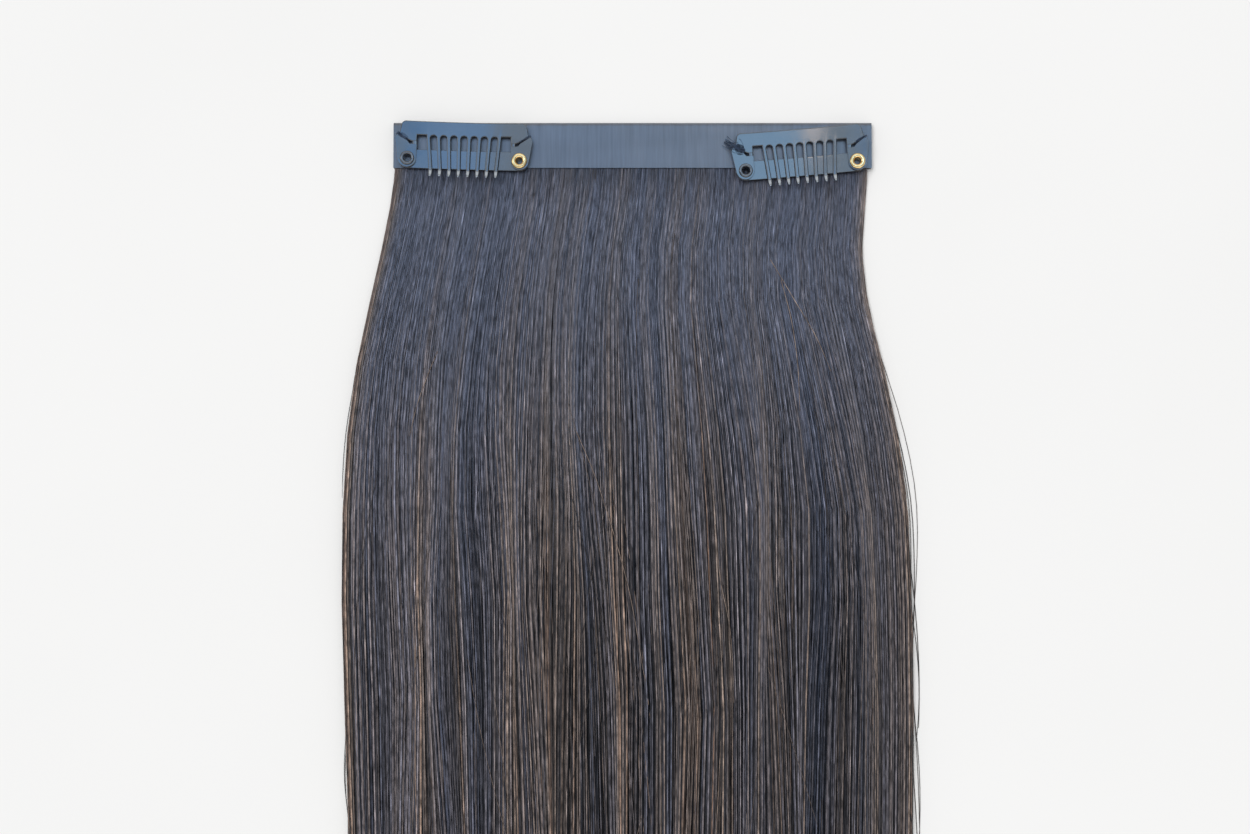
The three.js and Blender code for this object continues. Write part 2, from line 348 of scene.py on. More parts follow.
@dataclass(frozen=True)
class MassFinish:
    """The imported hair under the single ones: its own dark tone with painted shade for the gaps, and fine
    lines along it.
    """

    line_scale: Rgb = (2600.0, 22.0, 2600.0)
    line_detail: float = 3.0
    line_span: Span = (0.36, 0.7)
    line_relief: Relief = Relief(0.6, 0.15)
    dark: Rgb = (0.006, 0.0052, 0.005)
    light: Rgb = (0.045, 0.032, 0.026)
    roughness: float = 0.55

    def material(self) -> bpy.types.Material:
        """Makes the material.

        Returns:
            The finished material.
        """
        paint = Paint("hair_mass")
        lines = paint.noise(self.line_scale, self.line_detail)
        return paint.surface(
            Base_Color=paint.ramp(lines, self.line_span, self.dark, self.light),
            Roughness=self.roughness,
            Normal=paint.bump(lines, self.line_relief),
        )


@dataclass(frozen=True)
class FilmFinish:
    """Clear glossy film over the flattened roots, which show as faint upright lines."""

    line_scale: Rgb = (1500.0, 70.0, 1500.0)
    line_detail: float = 3.0
    line_fineness: float = 0.6
    line_share: float = 0.75
    cloud_scale: Rgb = (45.0, 160.0, 60.0)
    tone_span: Span = (0.32, 0.68)
    # Their blue is a painted reflection of the sky over the roots' own dark tone.
    dark: Rgb = (0.03, 0.038, 0.056)
    light: Rgb = (0.071, 0.09, 0.131)
    roughness: float = 0.32
    line_roughness: float = 0.2
    specular: float = 1.0
    gloss: float = 0.25
    cloud_gloss: float = 0.3
    gloss_roughness: float = 0.16
    relief: Relief = Relief(0.35, 0.06)

    def material(self) -> bpy.types.Material:
        """Makes the material.

        Returns:
            The finished material.
        """
        paint = Paint("sealed_film")
        lines = paint.noise(self.line_scale, self.line_detail, self.line_fineness)
        clouds = paint.noise(self.cloud_scale)
        blended = lines * self.line_share + clouds * (1.0 - self.line_share)
        return paint.surface(
            Base_Color=paint.ramp(blended, self.tone_span, self.dark, self.light),
            Roughness=lines * self.line_roughness + self.roughness,
            Specular_IOR_Level=self.specular,
            Coat_Weight=clouds * self.cloud_gloss + self.gloss,
            Coat_Roughness=self.gloss_roughness,
            Normal=paint.bump(blended, self.relief),
        )


@dataclass(frozen=True)
class EnamelFinish:
    """Black gloss enamel on stamped steel, rubbed to the bare metal at the teeth's tips, with painted sheen
    and sky reflection.
    """

    peel_scale: Rgb = (900.0, 900.0, 900.0)
    peel_relief: Relief = Relief(0.06, 0.05)
    smear_and_sheen_scale: Rgb = (160.0, 320.0, 200.0)
    smear_and_sheen_detail: float = 4.0
    sheen_patch_span: Span = (0.35, 0.75)
    # Painted sky reflection: these colours are tinted blue, and the lighter enamel colour in smeared patches
    # is a painted sheen.
    black: Rgb = (0.01, 0.014, 0.022)
    sheen_patch: Rgb = (0.024, 0.031, 0.042)
    steel: Rgb = (0.38, 0.42, 0.47)
    roughness: float = 0.05
    smear_roughness: float = 0.16
    bare_roughness: float = 0.08
    specular: float = 1.0
    gloss: float = 0.6
    gloss_roughness: float = 0.08

    def material(self) -> bpy.types.Material:
        """Makes the material.

        Returns:
            The finished material.
        """
        paint = Paint("black_enamel")
        bare = paint.attribute(WEAR_AND_HIGHLIGHT_ATTRIBUTE, "Fac")
        peel = paint.noise(self.peel_scale)
        smears_and_sheen = paint.noise(self.smear_and_sheen_scale, self.smear_and_sheen_detail)
        # Painted sheen: the enamel lighter in smeared patches; the same smeared pattern also varies the
        # roughness.
        enamel = paint.mix(paint.spread(smears_and_sheen, self.sheen_patch_span), self.black, self.sheen_patch)
        return paint.surface(
            Base_Color=paint.mix(bare, enamel, self.steel),
            Metallic=bare,
            Roughness=smears_and_sheen * self.smear_roughness + self.roughness + bare * self.bare_roughness,
            Specular_IOR_Level=self.specular,
            Coat_Weight=self.gloss,
            Coat_Roughness=self.gloss_roughness,
            Normal=paint.bump(peel, self.peel_relief),
        )


@dataclass(frozen=True)
class BrassFinish:
    """Polished brass, a little dulled in patches."""

    patch_scale: Rgb = (500.0, 500.0, 500.0)
    patch_detail: float = 4.0
    patch_span: Span = (0.4, 0.7)
    bright: Rgb = (1.0, 0.76, 0.39)
    dull: Rgb = (0.72, 0.53, 0.25)
    metallic: float = 1.0
    roughness: float = 0.2
    patch_roughness: float = 0.16

    def material(self) -> bpy.types.Material:
        """Makes the material.

        Returns:
            The finished material.
        """
        paint = Paint("polished_brass")
        patches = paint.spread(paint.noise(self.patch_scale, self.patch_detail), self.patch_span)
        return paint.surface(
            Base_Color=paint.mix(patches, self.bright, self.dull),
            Metallic=self.metallic,
            Roughness=patches * self.patch_roughness + self.roughness,
        )


@dataclass(frozen=True)
class ThreadFinish:
    """Dark sewing thread with a soft surface."""

    fibre_scale: Rgb = (1800.0, 1800.0, 1800.0)
    fibre_span: Span = (0.35, 0.7)
    fibre_relief: Relief = Relief(0.5, 0.1)
    dark: Rgb = (0.012, 0.019, 0.036)
    light: Rgb = (0.055, 0.082, 0.14)
    roughness: float = 0.7
    specular: float = 0.2

    def material(self) -> bpy.types.Material:
        """Makes the material.

        Returns:
            The finished material.
        """
        paint = Paint("sewing_thread")
        fibres = paint.noise(self.fibre_scale)
        return paint.surface(
            Base_Color=paint.ramp(fibres, self.fibre_span, self.dark, self.light),
            Roughness=self.roughness,
            Specular_IOR_Level=self.specular,
            Normal=paint.bump(fibres, self.fibre_relief),
        )


@dataclass(frozen=True)
class FloorFinish:
    """A plain white surface with the faintest mottling."""

    mottle_scale: Rgb = (9.0, 9.0, 9.0)
    mottle_span: Span = (0.4, 0.75)
    white: Rgb = (0.905, 0.905, 0.9)
    off_white: Rgb = (0.89, 0.89, 0.885)
    roughness: float = 0.75
    specular: float = 0.0

    def material(self) -> bpy.types.Material:
        """Makes the material.

        Returns:
            The finished material.
        """
        paint = Paint("pale_floor")
        mottle = paint.noise(self.mottle_scale)
        return paint.surface(
            Base_Color=paint.ramp(mottle, self.mottle_span, self.white, self.off_white),
            Roughness=self.roughness,
            Specular_IOR_Level=self.specular,
        )


# Shared mesh work


def smoothstep(value: np.ndarray, low: float, high: float) -> np.ndarray:
    """Soft step from 0 at low to 1 at high.

    Args:
        value: Where the step is read.
        low: Last place with a result of 0.
        high: First place with a result of 1.

    Returns:
        The step at each value.
    """
    share = np.clip((value - low) / (high - low), 0.0, 1.0)
    return share * share * (3.0 - 2.0 * share)


def smooth_through(at: np.ndarray, known: np.ndarray, values: np.ndarray) -> np.ndarray:
    """Reads a smooth curve through known points.

    Args:
        at: Places to read, of any shape.
        known: Rising places of the known points.
        values: The curve's values there.

    Returns:
        The curve's value at each place.
    """
    slopes = np.gradient(values, known)
    left = np.clip(np.searchsorted(known, at, side="right") - 1, 0, len(known) - 2)
    step = known[left + 1] - known[left]
    share = np.clip((at - known[left]) / step, 0.0, 1.0)
    rise = share * share * (3.0 - 2.0 * share)
    start_pull = share * (1.0 - share) ** 2
    end_pull = share * share * (share - 1.0)
    straight = values[left] + (values[left + 1] - values[left]) * rise
    return straight + step * (slopes[left] * start_pull + slopes[left + 1] * end_pull)


def add_object(name: str, data: bpy.types.ID) -> bpy.types.Object:
    """Puts a mesh, a light or a camera in the scene, at the origin.

    Args:
        name: The object's name.
        data: What it shows.

    Returns:
        The new object.
    """
    thing = bpy.data.objects.new(name, data)
    bpy.context.scene.collection.objects.link(thing)
    return thing


def add_piece(name: str, mesh: bpy.types.Mesh, material: bpy.types.Material) -> bpy.types.Object:
    """Puts a finished mesh in the scene, at the origin.

    Args:
        name: The piece's name.
        mesh: Its mesh, in metres.
        material: Its finish.

    Returns:
        The new object.
    """
    mesh.materials.clear()
    mesh.materials.append(material)
    piece = add_object(name, mesh)
    triangles = sum(polygon.loop_total - 2 for polygon in mesh.polygons)
    LOG.info("%s: %d triangles", name, triangles)
    return piece


def finished_mesh(name: str, shape: bmesh.types.BMesh, matrix: Matrix) -> bpy.types.Mesh:
    """Moves a bmesh to its place and makes it a mesh that is smooth apart from its creases.

    Args:
        name: Name of the mesh.
        shape: The bmesh, which is freed.
        matrix: From the shape's own millimetres to metres in the frame.

    Returns:
        The mesh.
    """
    bmesh.ops.recalc_face_normals(shape, faces=shape.faces)
    bmesh.ops.transform(shape, matrix=matrix, verts=shape.verts)
    mesh = bpy.data.meshes.new(name)
    shape.to_mesh(mesh)
    shape.free()
    mesh.shade_smooth()
    mesh.set_sharp_from_angle(angle=math.radians(CREASE_DEG))
    return mesh


def arc(centre: tuple[float, float], radius: float, start: float, end: float, steps: int) -> list[Vector]:
    """Points round an arc in the plane.

    Args:
        centre: Its middle.
        radius: Its radius.
        start: First angle, in degrees.
        end: Last angle, in degrees.
        steps: Number of chords.

    Returns:
        The points, both ends among them.
    """
    angles = [math.radians(start + (end - start) * i / steps) for i in range(steps + 1)]
    x, y = centre
    return [Vector((x + radius * math.cos(a), y + radius * math.sin(a), 0.0)) for a in angles]


def add_loop(shape: bmesh.types.BMesh, points: Iterable[Vector]) -> list[bmesh.types.BMEdge]:
    """Adds a closed outline.

    Args:
        shape: The bmesh that gets it.
        points: Its corners in order.

    Returns:
        Its edges.
    """
    corners = [shape.verts.new(point) for point in points]
    return [shape.edges.new((corner, corners[i - 1])) for i, corner in enumerate(corners)]


def doubled(shape: bmesh.types.BMesh) -> list[bmesh.types.BMVert]:
    """Doubles all faces, with walls round their edge, and gives the new points, still in the old places."""
    grown = bmesh.ops.extrude_face_region(shape, geom=list(shape.faces), use_keep_orig=True)["geom"]
    return [item for item in grown if isinstance(item, bmesh.types.BMVert)]


def thicken_and_round(shape: bmesh.types.BMesh, thickness: float, rounding: float, steps: int) -> None:
    """Makes flat faces a sheet with rounded edges.

    Args:
        shape: Flat faces at height 0, which become the underside.
        thickness: The sheet's thickness.
        rounding: Radius of its edges.
        steps: Number of steps round an edge.
    """
    bmesh.ops.translate(shape, verts=doubled(shape), vec=(0.0, 0.0, thickness))
    bmesh.ops.recalc_face_normals(shape, faces=shape.faces)
    corner = math.radians(BEVEL_FROM_DEG)
    sharp = [edge for edge in shape.edges if edge.is_manifold and edge.calc_face_angle() > corner]
    bmesh.ops.bevel(
        shape,
        geom=sharp,
        offset=rounding,
        offset_type="OFFSET",
        segments=steps,
        profile=0.5,
        affect="EDGES",
        material=-1,
        clamp_overlap=True,
    )


def cut_across(shape: bmesh.types.BMesh, places: Iterable[float], axis: Vector) -> None:
    """Cuts a shape into strips.

    Args:
        shape: The shape.
        places: Where the cuts lie along the axis.
        axis: The direction that the cuts are square to.
    """
    for place in places:
        geometry = [*shape.verts, *shape.edges, *shape.faces]
        bmesh.ops.bisect_plane(shape, geom=geometry, dist=WELD, plane_co=axis * place, plane_no=axis)


@dataclass
class Strands:
    """Many thin round things: their paths, radii and tones at each station, and which are kin in looks."""

    paths: np.ndarray
    radii: np.ndarray
    tones: np.ndarray
    kin: np.ndarray

    def part(self, chosen: slice) -> Strands:
        """Some of the strands."""
        return Strands(self.paths[chosen], self.radii[chosen], self.tones[chosen], self.kin[chosen])

    def joined(self, other: Strands) -> Strands:
        """These strands and others with as many stations."""
        kept = ("paths", "radii", "tones", "kin")
        return Strands(*(np.concatenate([getattr(self, name), getattr(other, name)]) for name in kept))

    def mesh(self, name: str, sides: int, rows: int, upward: np.ndarray = UP) -> bpy.types.Mesh:
        """Joins all strands to one mesh of closed tubes.

        Args:
            name: Name of the mesh.
            sides: Number of sides of a tube.
            rows: Number of rows of strips in the map that the export bakes to.
            upward: A direction that no strand runs along.

        Returns:
            The mesh, with the tones as a colour attribute.
        """
        count, stations = self.radii.shape
        points = self._rings(sides, upward)
        index = np.arange(count * stations * sides).reshape(count, stations, sides)
        here, there = index[:, :-1], index[:, 1:]
        walls = np.stack([here, there, np.roll(there, -1, 2), np.roll(here, -1, 2)], axis=-1)
        ends = np.stack([index[:, 0], index[:, -1, ::-1]], axis=1)
        mesh = bpy.data.meshes.new(name)
        faces = walls.reshape(-1, 4).tolist() + ends.reshape(-1, sides).tolist()
        mesh.from_pydata((points.reshape(-1, 3) * MM).tolist(), [], faces)
        mesh.polygons.foreach_set("use_smooth", np.arange(len(faces)) < len(faces) - 2 * count)
        tones = np.ones((count, stations, sides, 4), np.float32)
        tones[..., :3] = self.tones[:, :, None, :]
        attribute = mesh.color_attributes.new(TONE_ATTRIBUTE, "FLOAT_COLOR", "POINT")
        attribute.data.foreach_set("color", tones.ravel())
        flow = np.zeros((count, stations, sides, 3), np.float32)
        flow[..., 0] = (KIN_STEP * self.kin)[:, None, None]
        flow[..., 1] = self._lengths()[:, :, None] * MM
        attribute = mesh.attributes.new(FLOW_ATTRIBUTE, "FLOAT_VECTOR", "POINT")
        attribute.data.foreach_set("vector", flow.ravel())
        layer = mesh.uv_layers.new(name=BAKE_UV)
        layer.uv.foreach_set("vector", self._strips(sides, rows).astype(np.float32).ravel())
        return mesh

    def _lengths(self) -> np.ndarray:
        """Length of each strand from its root to each station."""
        steps = np.linalg.norm(np.diff(self.paths, axis=1), axis=2)
        return np.concatenate([np.zeros((len(steps), 1)), np.cumsum(steps, axis=1)], axis=1)

    def _rings(self, sides: int, upward: np.ndarray) -> np.ndarray:
        """Points round every station of every strand.

        Args:
            sides: Number of sides of a tube.
            upward: A direction that no strand runs along.

        Returns:
            An array by strand, station, side and axis.
        """
        along = np.gradient(self.paths, axis=1)
        across = np.cross(along, upward)
        across /= np.linalg.norm(across, axis=2, keepdims=True)
        lift = np.cross(across, along)
        lift /= np.linalg.norm(lift, axis=2, keepdims=True)
        turn = FULL_TURN / 4 + np.linspace(0.0, FULL_TURN, sides, endpoint=False)
        ring = np.cos(turn)[:, None] * across[:, :, None, :] + np.sin(turn)[:, None] * lift[:, :, None, :]
        return self.paths[:, :, None, :] + self.radii[:, :, None, None] * ring

    def _strips(self, sides: int, rows: int) -> np.ndarray:
        """Lays each strand out as a narrow upright strip of the baked map.

        Args:
            sides: Number of sides of a tube.
            rows: Number of rows of strips.

        Returns:
            Two coordinates for each face corner, in the order of the mesh's faces.
        """
        count, stations = self.radii.shape
        columns = math.ceil(count / rows)
        column = (np.arange(count) % columns)[:, None, None]
        row = (np.arange(count) // columns)[:, None, None]
        side = STRIP_MARGIN + (1.0 - 2 * STRIP_MARGIN) * np.arange(sides + 1) / sides
        level = np.linspace(STRIP_END, 1.0 - STRIP_END, stations)
        u = np.broadcast_to((column + side) / columns, (count, stations, sides + 1))
        v = np.broadcast_to((row + level[:, None]) / rows, (count, stations, sides + 1))
        grid = np.stack([u, v], axis=-1)
        left, right = grid[:, :, :-1], grid[:, :, 1:]
        walls = np.stack([left[:, :-1], left[:, 1:], right[:, 1:], right[:, :-1]], axis=3)
        ends = np.stack([left[:, 0], left[:, -1]], axis=1)
        return np.concatenate([walls.reshape(-1, 2), ends.reshape(-1, 2)])


# The hair


class Section(NamedTuple):
    """The curtain's outline seen from above, and its depth, at one place along it."""

    y: float
    left: float
    right: float
    depth: float


@dataclass(frozen=True)
class CurtainForm:
    """The hair's outer form, which follows the frame's locks."""

    sections: tuple[Section, ...] = (
        Section(-6.05, -59.6, 59.0, 1.5),
        Section(-13.0, -60.6, 58.7, 1.6),
        Section(-24.0, -62.6, 57.6, 2.3),
        Section(-38.0, -65.6, 58.6, 3.0),
        Section(-52.0, -68.6, 62.0, 3.5),
        Section(-69.0, -71.0, 65.6, 3.8),
        Section(-87.0, -72.2, 68.3, 4.0),
        Section(-107.0, -72.6, 69.3, 4.1),
        Section(-135.0, -71.8, 69.8, 4.1),
        Section(-172.0, -70.4, 69.4, 4.0),
        Section(-215.0, -68.8, 68.2, 3.7),
        Section(-262.0, -66.8, 66.3, 3.2),
        Section(-306.0, -64.6, 64.2, 2.6),
        Section(-349.0, -62.6, 62.2, 1.0),
    )
    full_depth: float = 4.0
    lock_count: int = 20
    lock_overlap: float = 1.65
    lock_fullness: float = 0.6
    width_variation: float = 0.35
    depth_variation: float = 0.12
    tip_variation: float = 9.0
    width_rhythm: float = 2.4
    depth_rhythm: float = 4.8
    tip_rhythm: float = 7.2

    def outline(self, y: np.ndarray) -> tuple[np.ndarray, np.ndarray, np.ndarray]:
        """The curtain's outline.

        Args:
            y: Places along the curtain.

        Returns:
            Its left edge, its right edge and its depth there.
        """
        table = np.array(self.sections)
        left, right, depth = (smooth_through(-y, -table[:, 0], table[:, i]) for i in (1, 2, 3))
        return left, right, depth

    def locks(self) -> tuple[np.ndarray, np.ndarray, np.ndarray, np.ndarray]:
        """The locks' places across the curtain.

        Returns:
            Their middles and half widths as shares of the width, their depths as shares, and how far each
            tip ends before the longest.
        """
        number = np.arange(self.lock_count)
        widths = 1.0 + self.width_variation * np.sin(self.width_rhythm * number)
        edges = np.concatenate([[0.0], np.cumsum(widths)]) / widths.sum()
        half = np.diff(edges) / 2 * self.lock_overlap
        middle = np.clip((edges[1:] + edges[:-1]) / 2, half, 1.0 - half)
        depth = 1.0 + self.depth_variation * np.sin(self.depth_rhythm * number)
        shorter = self.tip_variation * (1.0 + np.sin(self.tip_rhythm * number)) / 2
        return middle, half, depth, shorter

    def height(self, share: np.ndarray, depth: np.ndarray) -> np.ndarray:
        """Height of the curtain's top.

        Args:
            share: Places across the curtain, from 0 at its left edge to 1.
            depth: The curtain's depth there.

        Returns:
            The height of the highest lock at each place.
        """
        top = np.zeros_like(share)
        for middle, half, deep, _ in zip(*self.locks()):
            inside = np.clip(1.0 - ((share - middle) / half) ** 2, 0.0, 1.0)
            top = np.maximum(top, depth * deep * inside ** (self.lock_fullness / 2))
        return top

    def nearest_lock(self, share: np.ndarray) -> tuple[np.ndarray, np.ndarray]:
        """The lock that each place belongs to.

        Args:
            share: Places across the curtain.

        Returns:
            The lock's middle, and how far its tip ends before the longest.
        """
        middle, _, _, shorter = self.locks()
        nearest = np.abs(share[..., None] - middle).argmin(axis=-1)
        return middle[nearest], shorter[nearest]

    def thinning(self, depth: np.ndarray, least: float) -> np.ndarray:
        """How thin the curtain is against its full depth, but not under a least share."""
        return np.clip(depth / self.full_depth, least, 1.0)


class Course(NamedTuple):
    """A value down the hair: its start at the band, and its change with the way down and that squared."""

    start: float
    change: float
    bend: float = 0.0

    def at(self, lower: np.ndarray) -> np.ndarray:
        """The value at shares of the way down."""
        return self.start + self.change * lower + self.bend * lower**2


class Halves(NamedTuple):
    """A value that differs between the left and the right half of the curtain."""

    left: float
    right: float

    def at(self, share: np.ndarray) -> np.ndarray:
        """The value at places across the curtain."""
        return np.where(share < MIDDLE, self.left, self.right)


class Taper(NamedTuple):
    """A thin tip: the share of a hair's length where it starts, and how much of the radius it takes."""

    start: float
    loss: float

    def at(self, along: np.ndarray) -> np.ndarray:
        """The share of the radius that is left along a hair."""
        return 1.0 - self.loss * smoothstep(along, self.start, 1.0)


@dataclass(frozen=True)
class HairTones:
    """Tones of single hairs, from the darkest to the lightest, and their warm and cool tints."""

    levels: tuple[float, ...] = (-2.4, -1.2, 0.0, 1.0, 2.0, 3.2)
    colours: tuple[Rgb, ...] = (
        (0.0025, 0.0025, 0.0035),
        (0.013, 0.0126, 0.0146),
        (0.047, 0.0424, 0.0426),
        (0.111, 0.0932, 0.0875),
        (0.214, 0.1705, 0.15),
        (0.36, 0.278, 0.232),
    )
    # Both tints serve the hairs' own tones and painted light: the cool one a sky sheen, the warm one light
    # through the rims.
    warm_tint: Rgb = (0.15, -0.045, -0.17)
    cool_tint: Rgb = (-0.095, 0.0, 0.2)
    warmth_span: Span = (-2.6, 1.2)

    def at(self, lightness: np.ndarray) -> np.ndarray:
        """Colour of each lightness, as a last axis of three."""
        table = np.array(self.colours)
        return np.stack([np.interp(lightness, self.levels, table[:, i]) for i in range(3)], axis=-1)

    def tinted(self, lightness: np.ndarray, warmth: np.ndarray) -> np.ndarray:
        """Colour of each lightness, warmer where its warmth is over 0 and cooler where it is under.

        Args:
            lightness: Places in the table of tones.
            warmth: How far each colour leans to the warm tint, or to the cool one.

        Returns:
            The colours, as a last axis of three.
        """
        warm = np.clip(warmth, *self.warmth_span)[..., None]
        tint = np.where(warm > 0.0, np.array(self.warm_tint), -np.array(self.cool_tint))
        return self.at(lightness) * (1.0 + tint * warm)


@dataclass(frozen=True)
class Toning:
    """How tones lie over the curtain: cool at the band as a painted sky sheen, warm at the rims as painted
    light, in bands of like hairs below.
    """

    tones: HairTones = HairTones()
    lower_span: Span = (20.0, 140.0)
    clump_lightness: float = 0.3
    clump_warmth: float = 0.4
    hair_lightness: float = 0.25
    bands: tuple[tuple[int, float], ...] = ((17, 0.3), (45, 0.4), (90, 0.3))
    band_lightness: float = 0.15
    copper_share: float = 0.09
    copper_lightness: float = 0.15
    copper_warmth: float = 0.6
    # Painted sky sheen near the band: contrast, lightness_course and warmth_course make the hairs there of
    # lower contrast, lighter and cooler.
    contrast: Course = Course(0.33, 1.0)
    middle_contrast: float = 1.25
    contrast_fall: float = 1.05
    lightness_course: Course = Course(0.84, 0.4, -1.16)
    # Painted light: lighter towards the left edge, the right rim and the sides low down; middle_shade is
    # painted shade in the lower middle.
    left_glow: float = 1.5
    right_glow: float = 0.4
    right_glow_span: Span = (0.9, 0.98)
    side_glow: float = 0.7
    middle_shade: float = 0.2
    warmth_course: Course = Course(-2.2, 2.4, -1.05)
    warmth_gain: Course = Course(0.75, 0.4)
    # Painted sky reflection: cooler on the left.
    left_coolness: float = 1.2
    left_cool_share: float = 0.4
    # Painted light through the thin rims: lighter and warmer there.
    rim_span: Span = (0.47, 0.498)
    rim_lightness: Halves = Halves(0.2, 0.75)
    rim_warmth: float = 0.9
    rim_strength: Halves = Halves(1.0, 0.7)

    def colours(
        self,
        rng: np.random.Generator,
        clump: np.ndarray,
        place: np.ndarray,
        own: np.ndarray,
        share: np.ndarray,
        y: np.ndarray,
    ) -> np.ndarray:
        """Tones of the hairs.

        Args:
            rng: Source of the tones' differences.
            clump: The clump that each hair belongs to.
            place: Each clump's place across the curtain.
            own: The lightness that each clump has from the painted shade of its layer and its place in the
                rhythm.
            share: Places across the curtain by hair and station.
            y: Places along it.

        Returns:
            A colour by hair and station.
        """
        clumps, count = len(own), len(clump)
        warmth = rng.normal(0.0, self.clump_warmth, clumps)
        own = own + rng.normal(0.0, self.clump_lightness, clumps)
        for bands, strength in self.bands:
            known = np.arange(bands + 1)
            band = strength * smooth_through(place * bands, known, rng.normal(0.0, 1.0, bands + 1))
            warmth += band
            own += self.band_lightness * band
        lower = smoothstep(-y, *self.lower_span)
        copper = (rng.uniform(size=clumps) < self.copper_share)[clump][:, None] * lower
        hair = own[clump] + rng.normal(0.0, self.hair_lightness, count)
        lightness = self._lightness(hair[:, None], share, lower) + self.copper_lightness * copper
        warm = warmth[clump][:, None] * self.warmth_gain.at(lower) + self.copper_warmth * copper
        return self.tones.tinted(lightness, self._warmth(warm, share, lower))

    def _lightness(self, own: np.ndarray, share: np.ndarray, lower: np.ndarray) -> np.ndarray:
        """How light the hairs are, with painted light at the band, the rims, the left side and the lower
        sides, and painted shade in the lower middle.

        Args:
            own: Each hair's own lightness.
            share: Places across the curtain by hair and station.
            lower: How far down they are, from 0 at the band to 1.

        Returns:
            A lightness by hair and station.
        """
        aside = np.abs(share - MIDDLE)
        contrast = self.contrast.at(lower) * (self.middle_contrast - self.contrast_fall * aside)
        lightness = own * contrast + self.lightness_course.at(lower)
        lightness += self.rim_lightness.at(share) * smoothstep(aside, *self.rim_span)
        lightness += self.right_glow * smoothstep(share, *self.right_glow_span) * lower
        lightness += self.left_glow * np.clip(MIDDLE - share, 0.0, 1.0) * lower
        return lightness + (self.side_glow * aside - self.middle_shade) * lower**2

    def _warmth(self, own: np.ndarray, share: np.ndarray, lower: np.ndarray) -> np.ndarray:
        """How warm the hairs are: cool at the band and on the left as a painted sky sheen, with rims warmed
        alike as painted light.

        Args:
            own: Each hair's own warmth by station.
            share: Places across the curtain by hair and station.
            lower: How far down they are, from 0 at the band to 1.

        Returns:
            A warmth by hair and station.
        """
        cooler = self.left_coolness * np.clip(self.left_cool_share - share, 0.0, 1.0)
        warm = own + self.warmth_course.at(lower) - cooler
        rim = smoothstep(np.abs(share - MIDDLE), *self.rim_span) * self.rim_strength.at(share)
        return warm + (self.rim_warmth - warm) * rim


@dataclass(frozen=True)
class HairFlow:
    """How clumps leave a straight course: neighbours together, then each a little on its own."""

    waves: tuple[tuple[float, float], ...] = ((5.0, 0.005), (11.0, 0.002), (23.0, 0.0006))
    drift: float = 3.0
    wander: float = 0.0075
    wander_waves: tuple[float, ...] = (1.1, 2.3, 3.6)
    wander_groups: int = 18
    own_wander: float = 0.0007
    own_waves: float = 2.0
    calm_edge: Span = (0.42, 0.5)
    stray_share: float = 0.1
    stray_reach: float = 0.018
    start_span: Span = (0.03, 0.35)

    def shift(
        self, rng: np.random.Generator, place: np.ndarray, layer: np.ndarray, along: np.ndarray
    ) -> np.ndarray:
        """How far clumps are from a straight course.

        Args:
            rng: Source of the courses.
            place: Each clump's place across the curtain.
            layer: The layer that each clump lies in.
            along: The stations' shares of a hair's length.

        Returns:
            The sideways shift as a share of the curtain's width, by clump and station.
        """
        column = (len(place), 1)
        shift = np.zeros((len(place), len(along)))
        for waves, size in self.waves:
            turn, drift = rng.uniform(0.0, FULL_TURN), rng.uniform(-self.drift, self.drift)
            shift += size * np.sin(FULL_TURN * waves * place[:, None] + turn + drift * along)
        known = np.arange(self.wander_groups + 1)
        for number, waves, turn in product(np.unique(layer), self.wander_waves, (np.sin, np.cos)):
            chosen = layer == number
            sizes = rng.normal(0.0, self.wander / waves, len(known))
            size = smooth_through(place[chosen] * self.wander_groups, known, sizes)
            shift[chosen] += size[:, None] * turn(FULL_TURN * waves * along)
        own = np.sin(FULL_TURN * self.own_waves * along + rng.uniform(0.0, FULL_TURN, column))
        shift += rng.normal(0.0, self.own_wander, column) * own
        shift *= 1.0 - smoothstep(np.abs(place - MIDDLE), *self.calm_edge)[:, None]
        strays = rng.uniform(size=column) < self.stray_share
        stray = np.where(strays, rng.normal(0.0, self.stray_reach, column), 0.0)
        return (shift + stray * along) * smoothstep(along, *self.start_span)


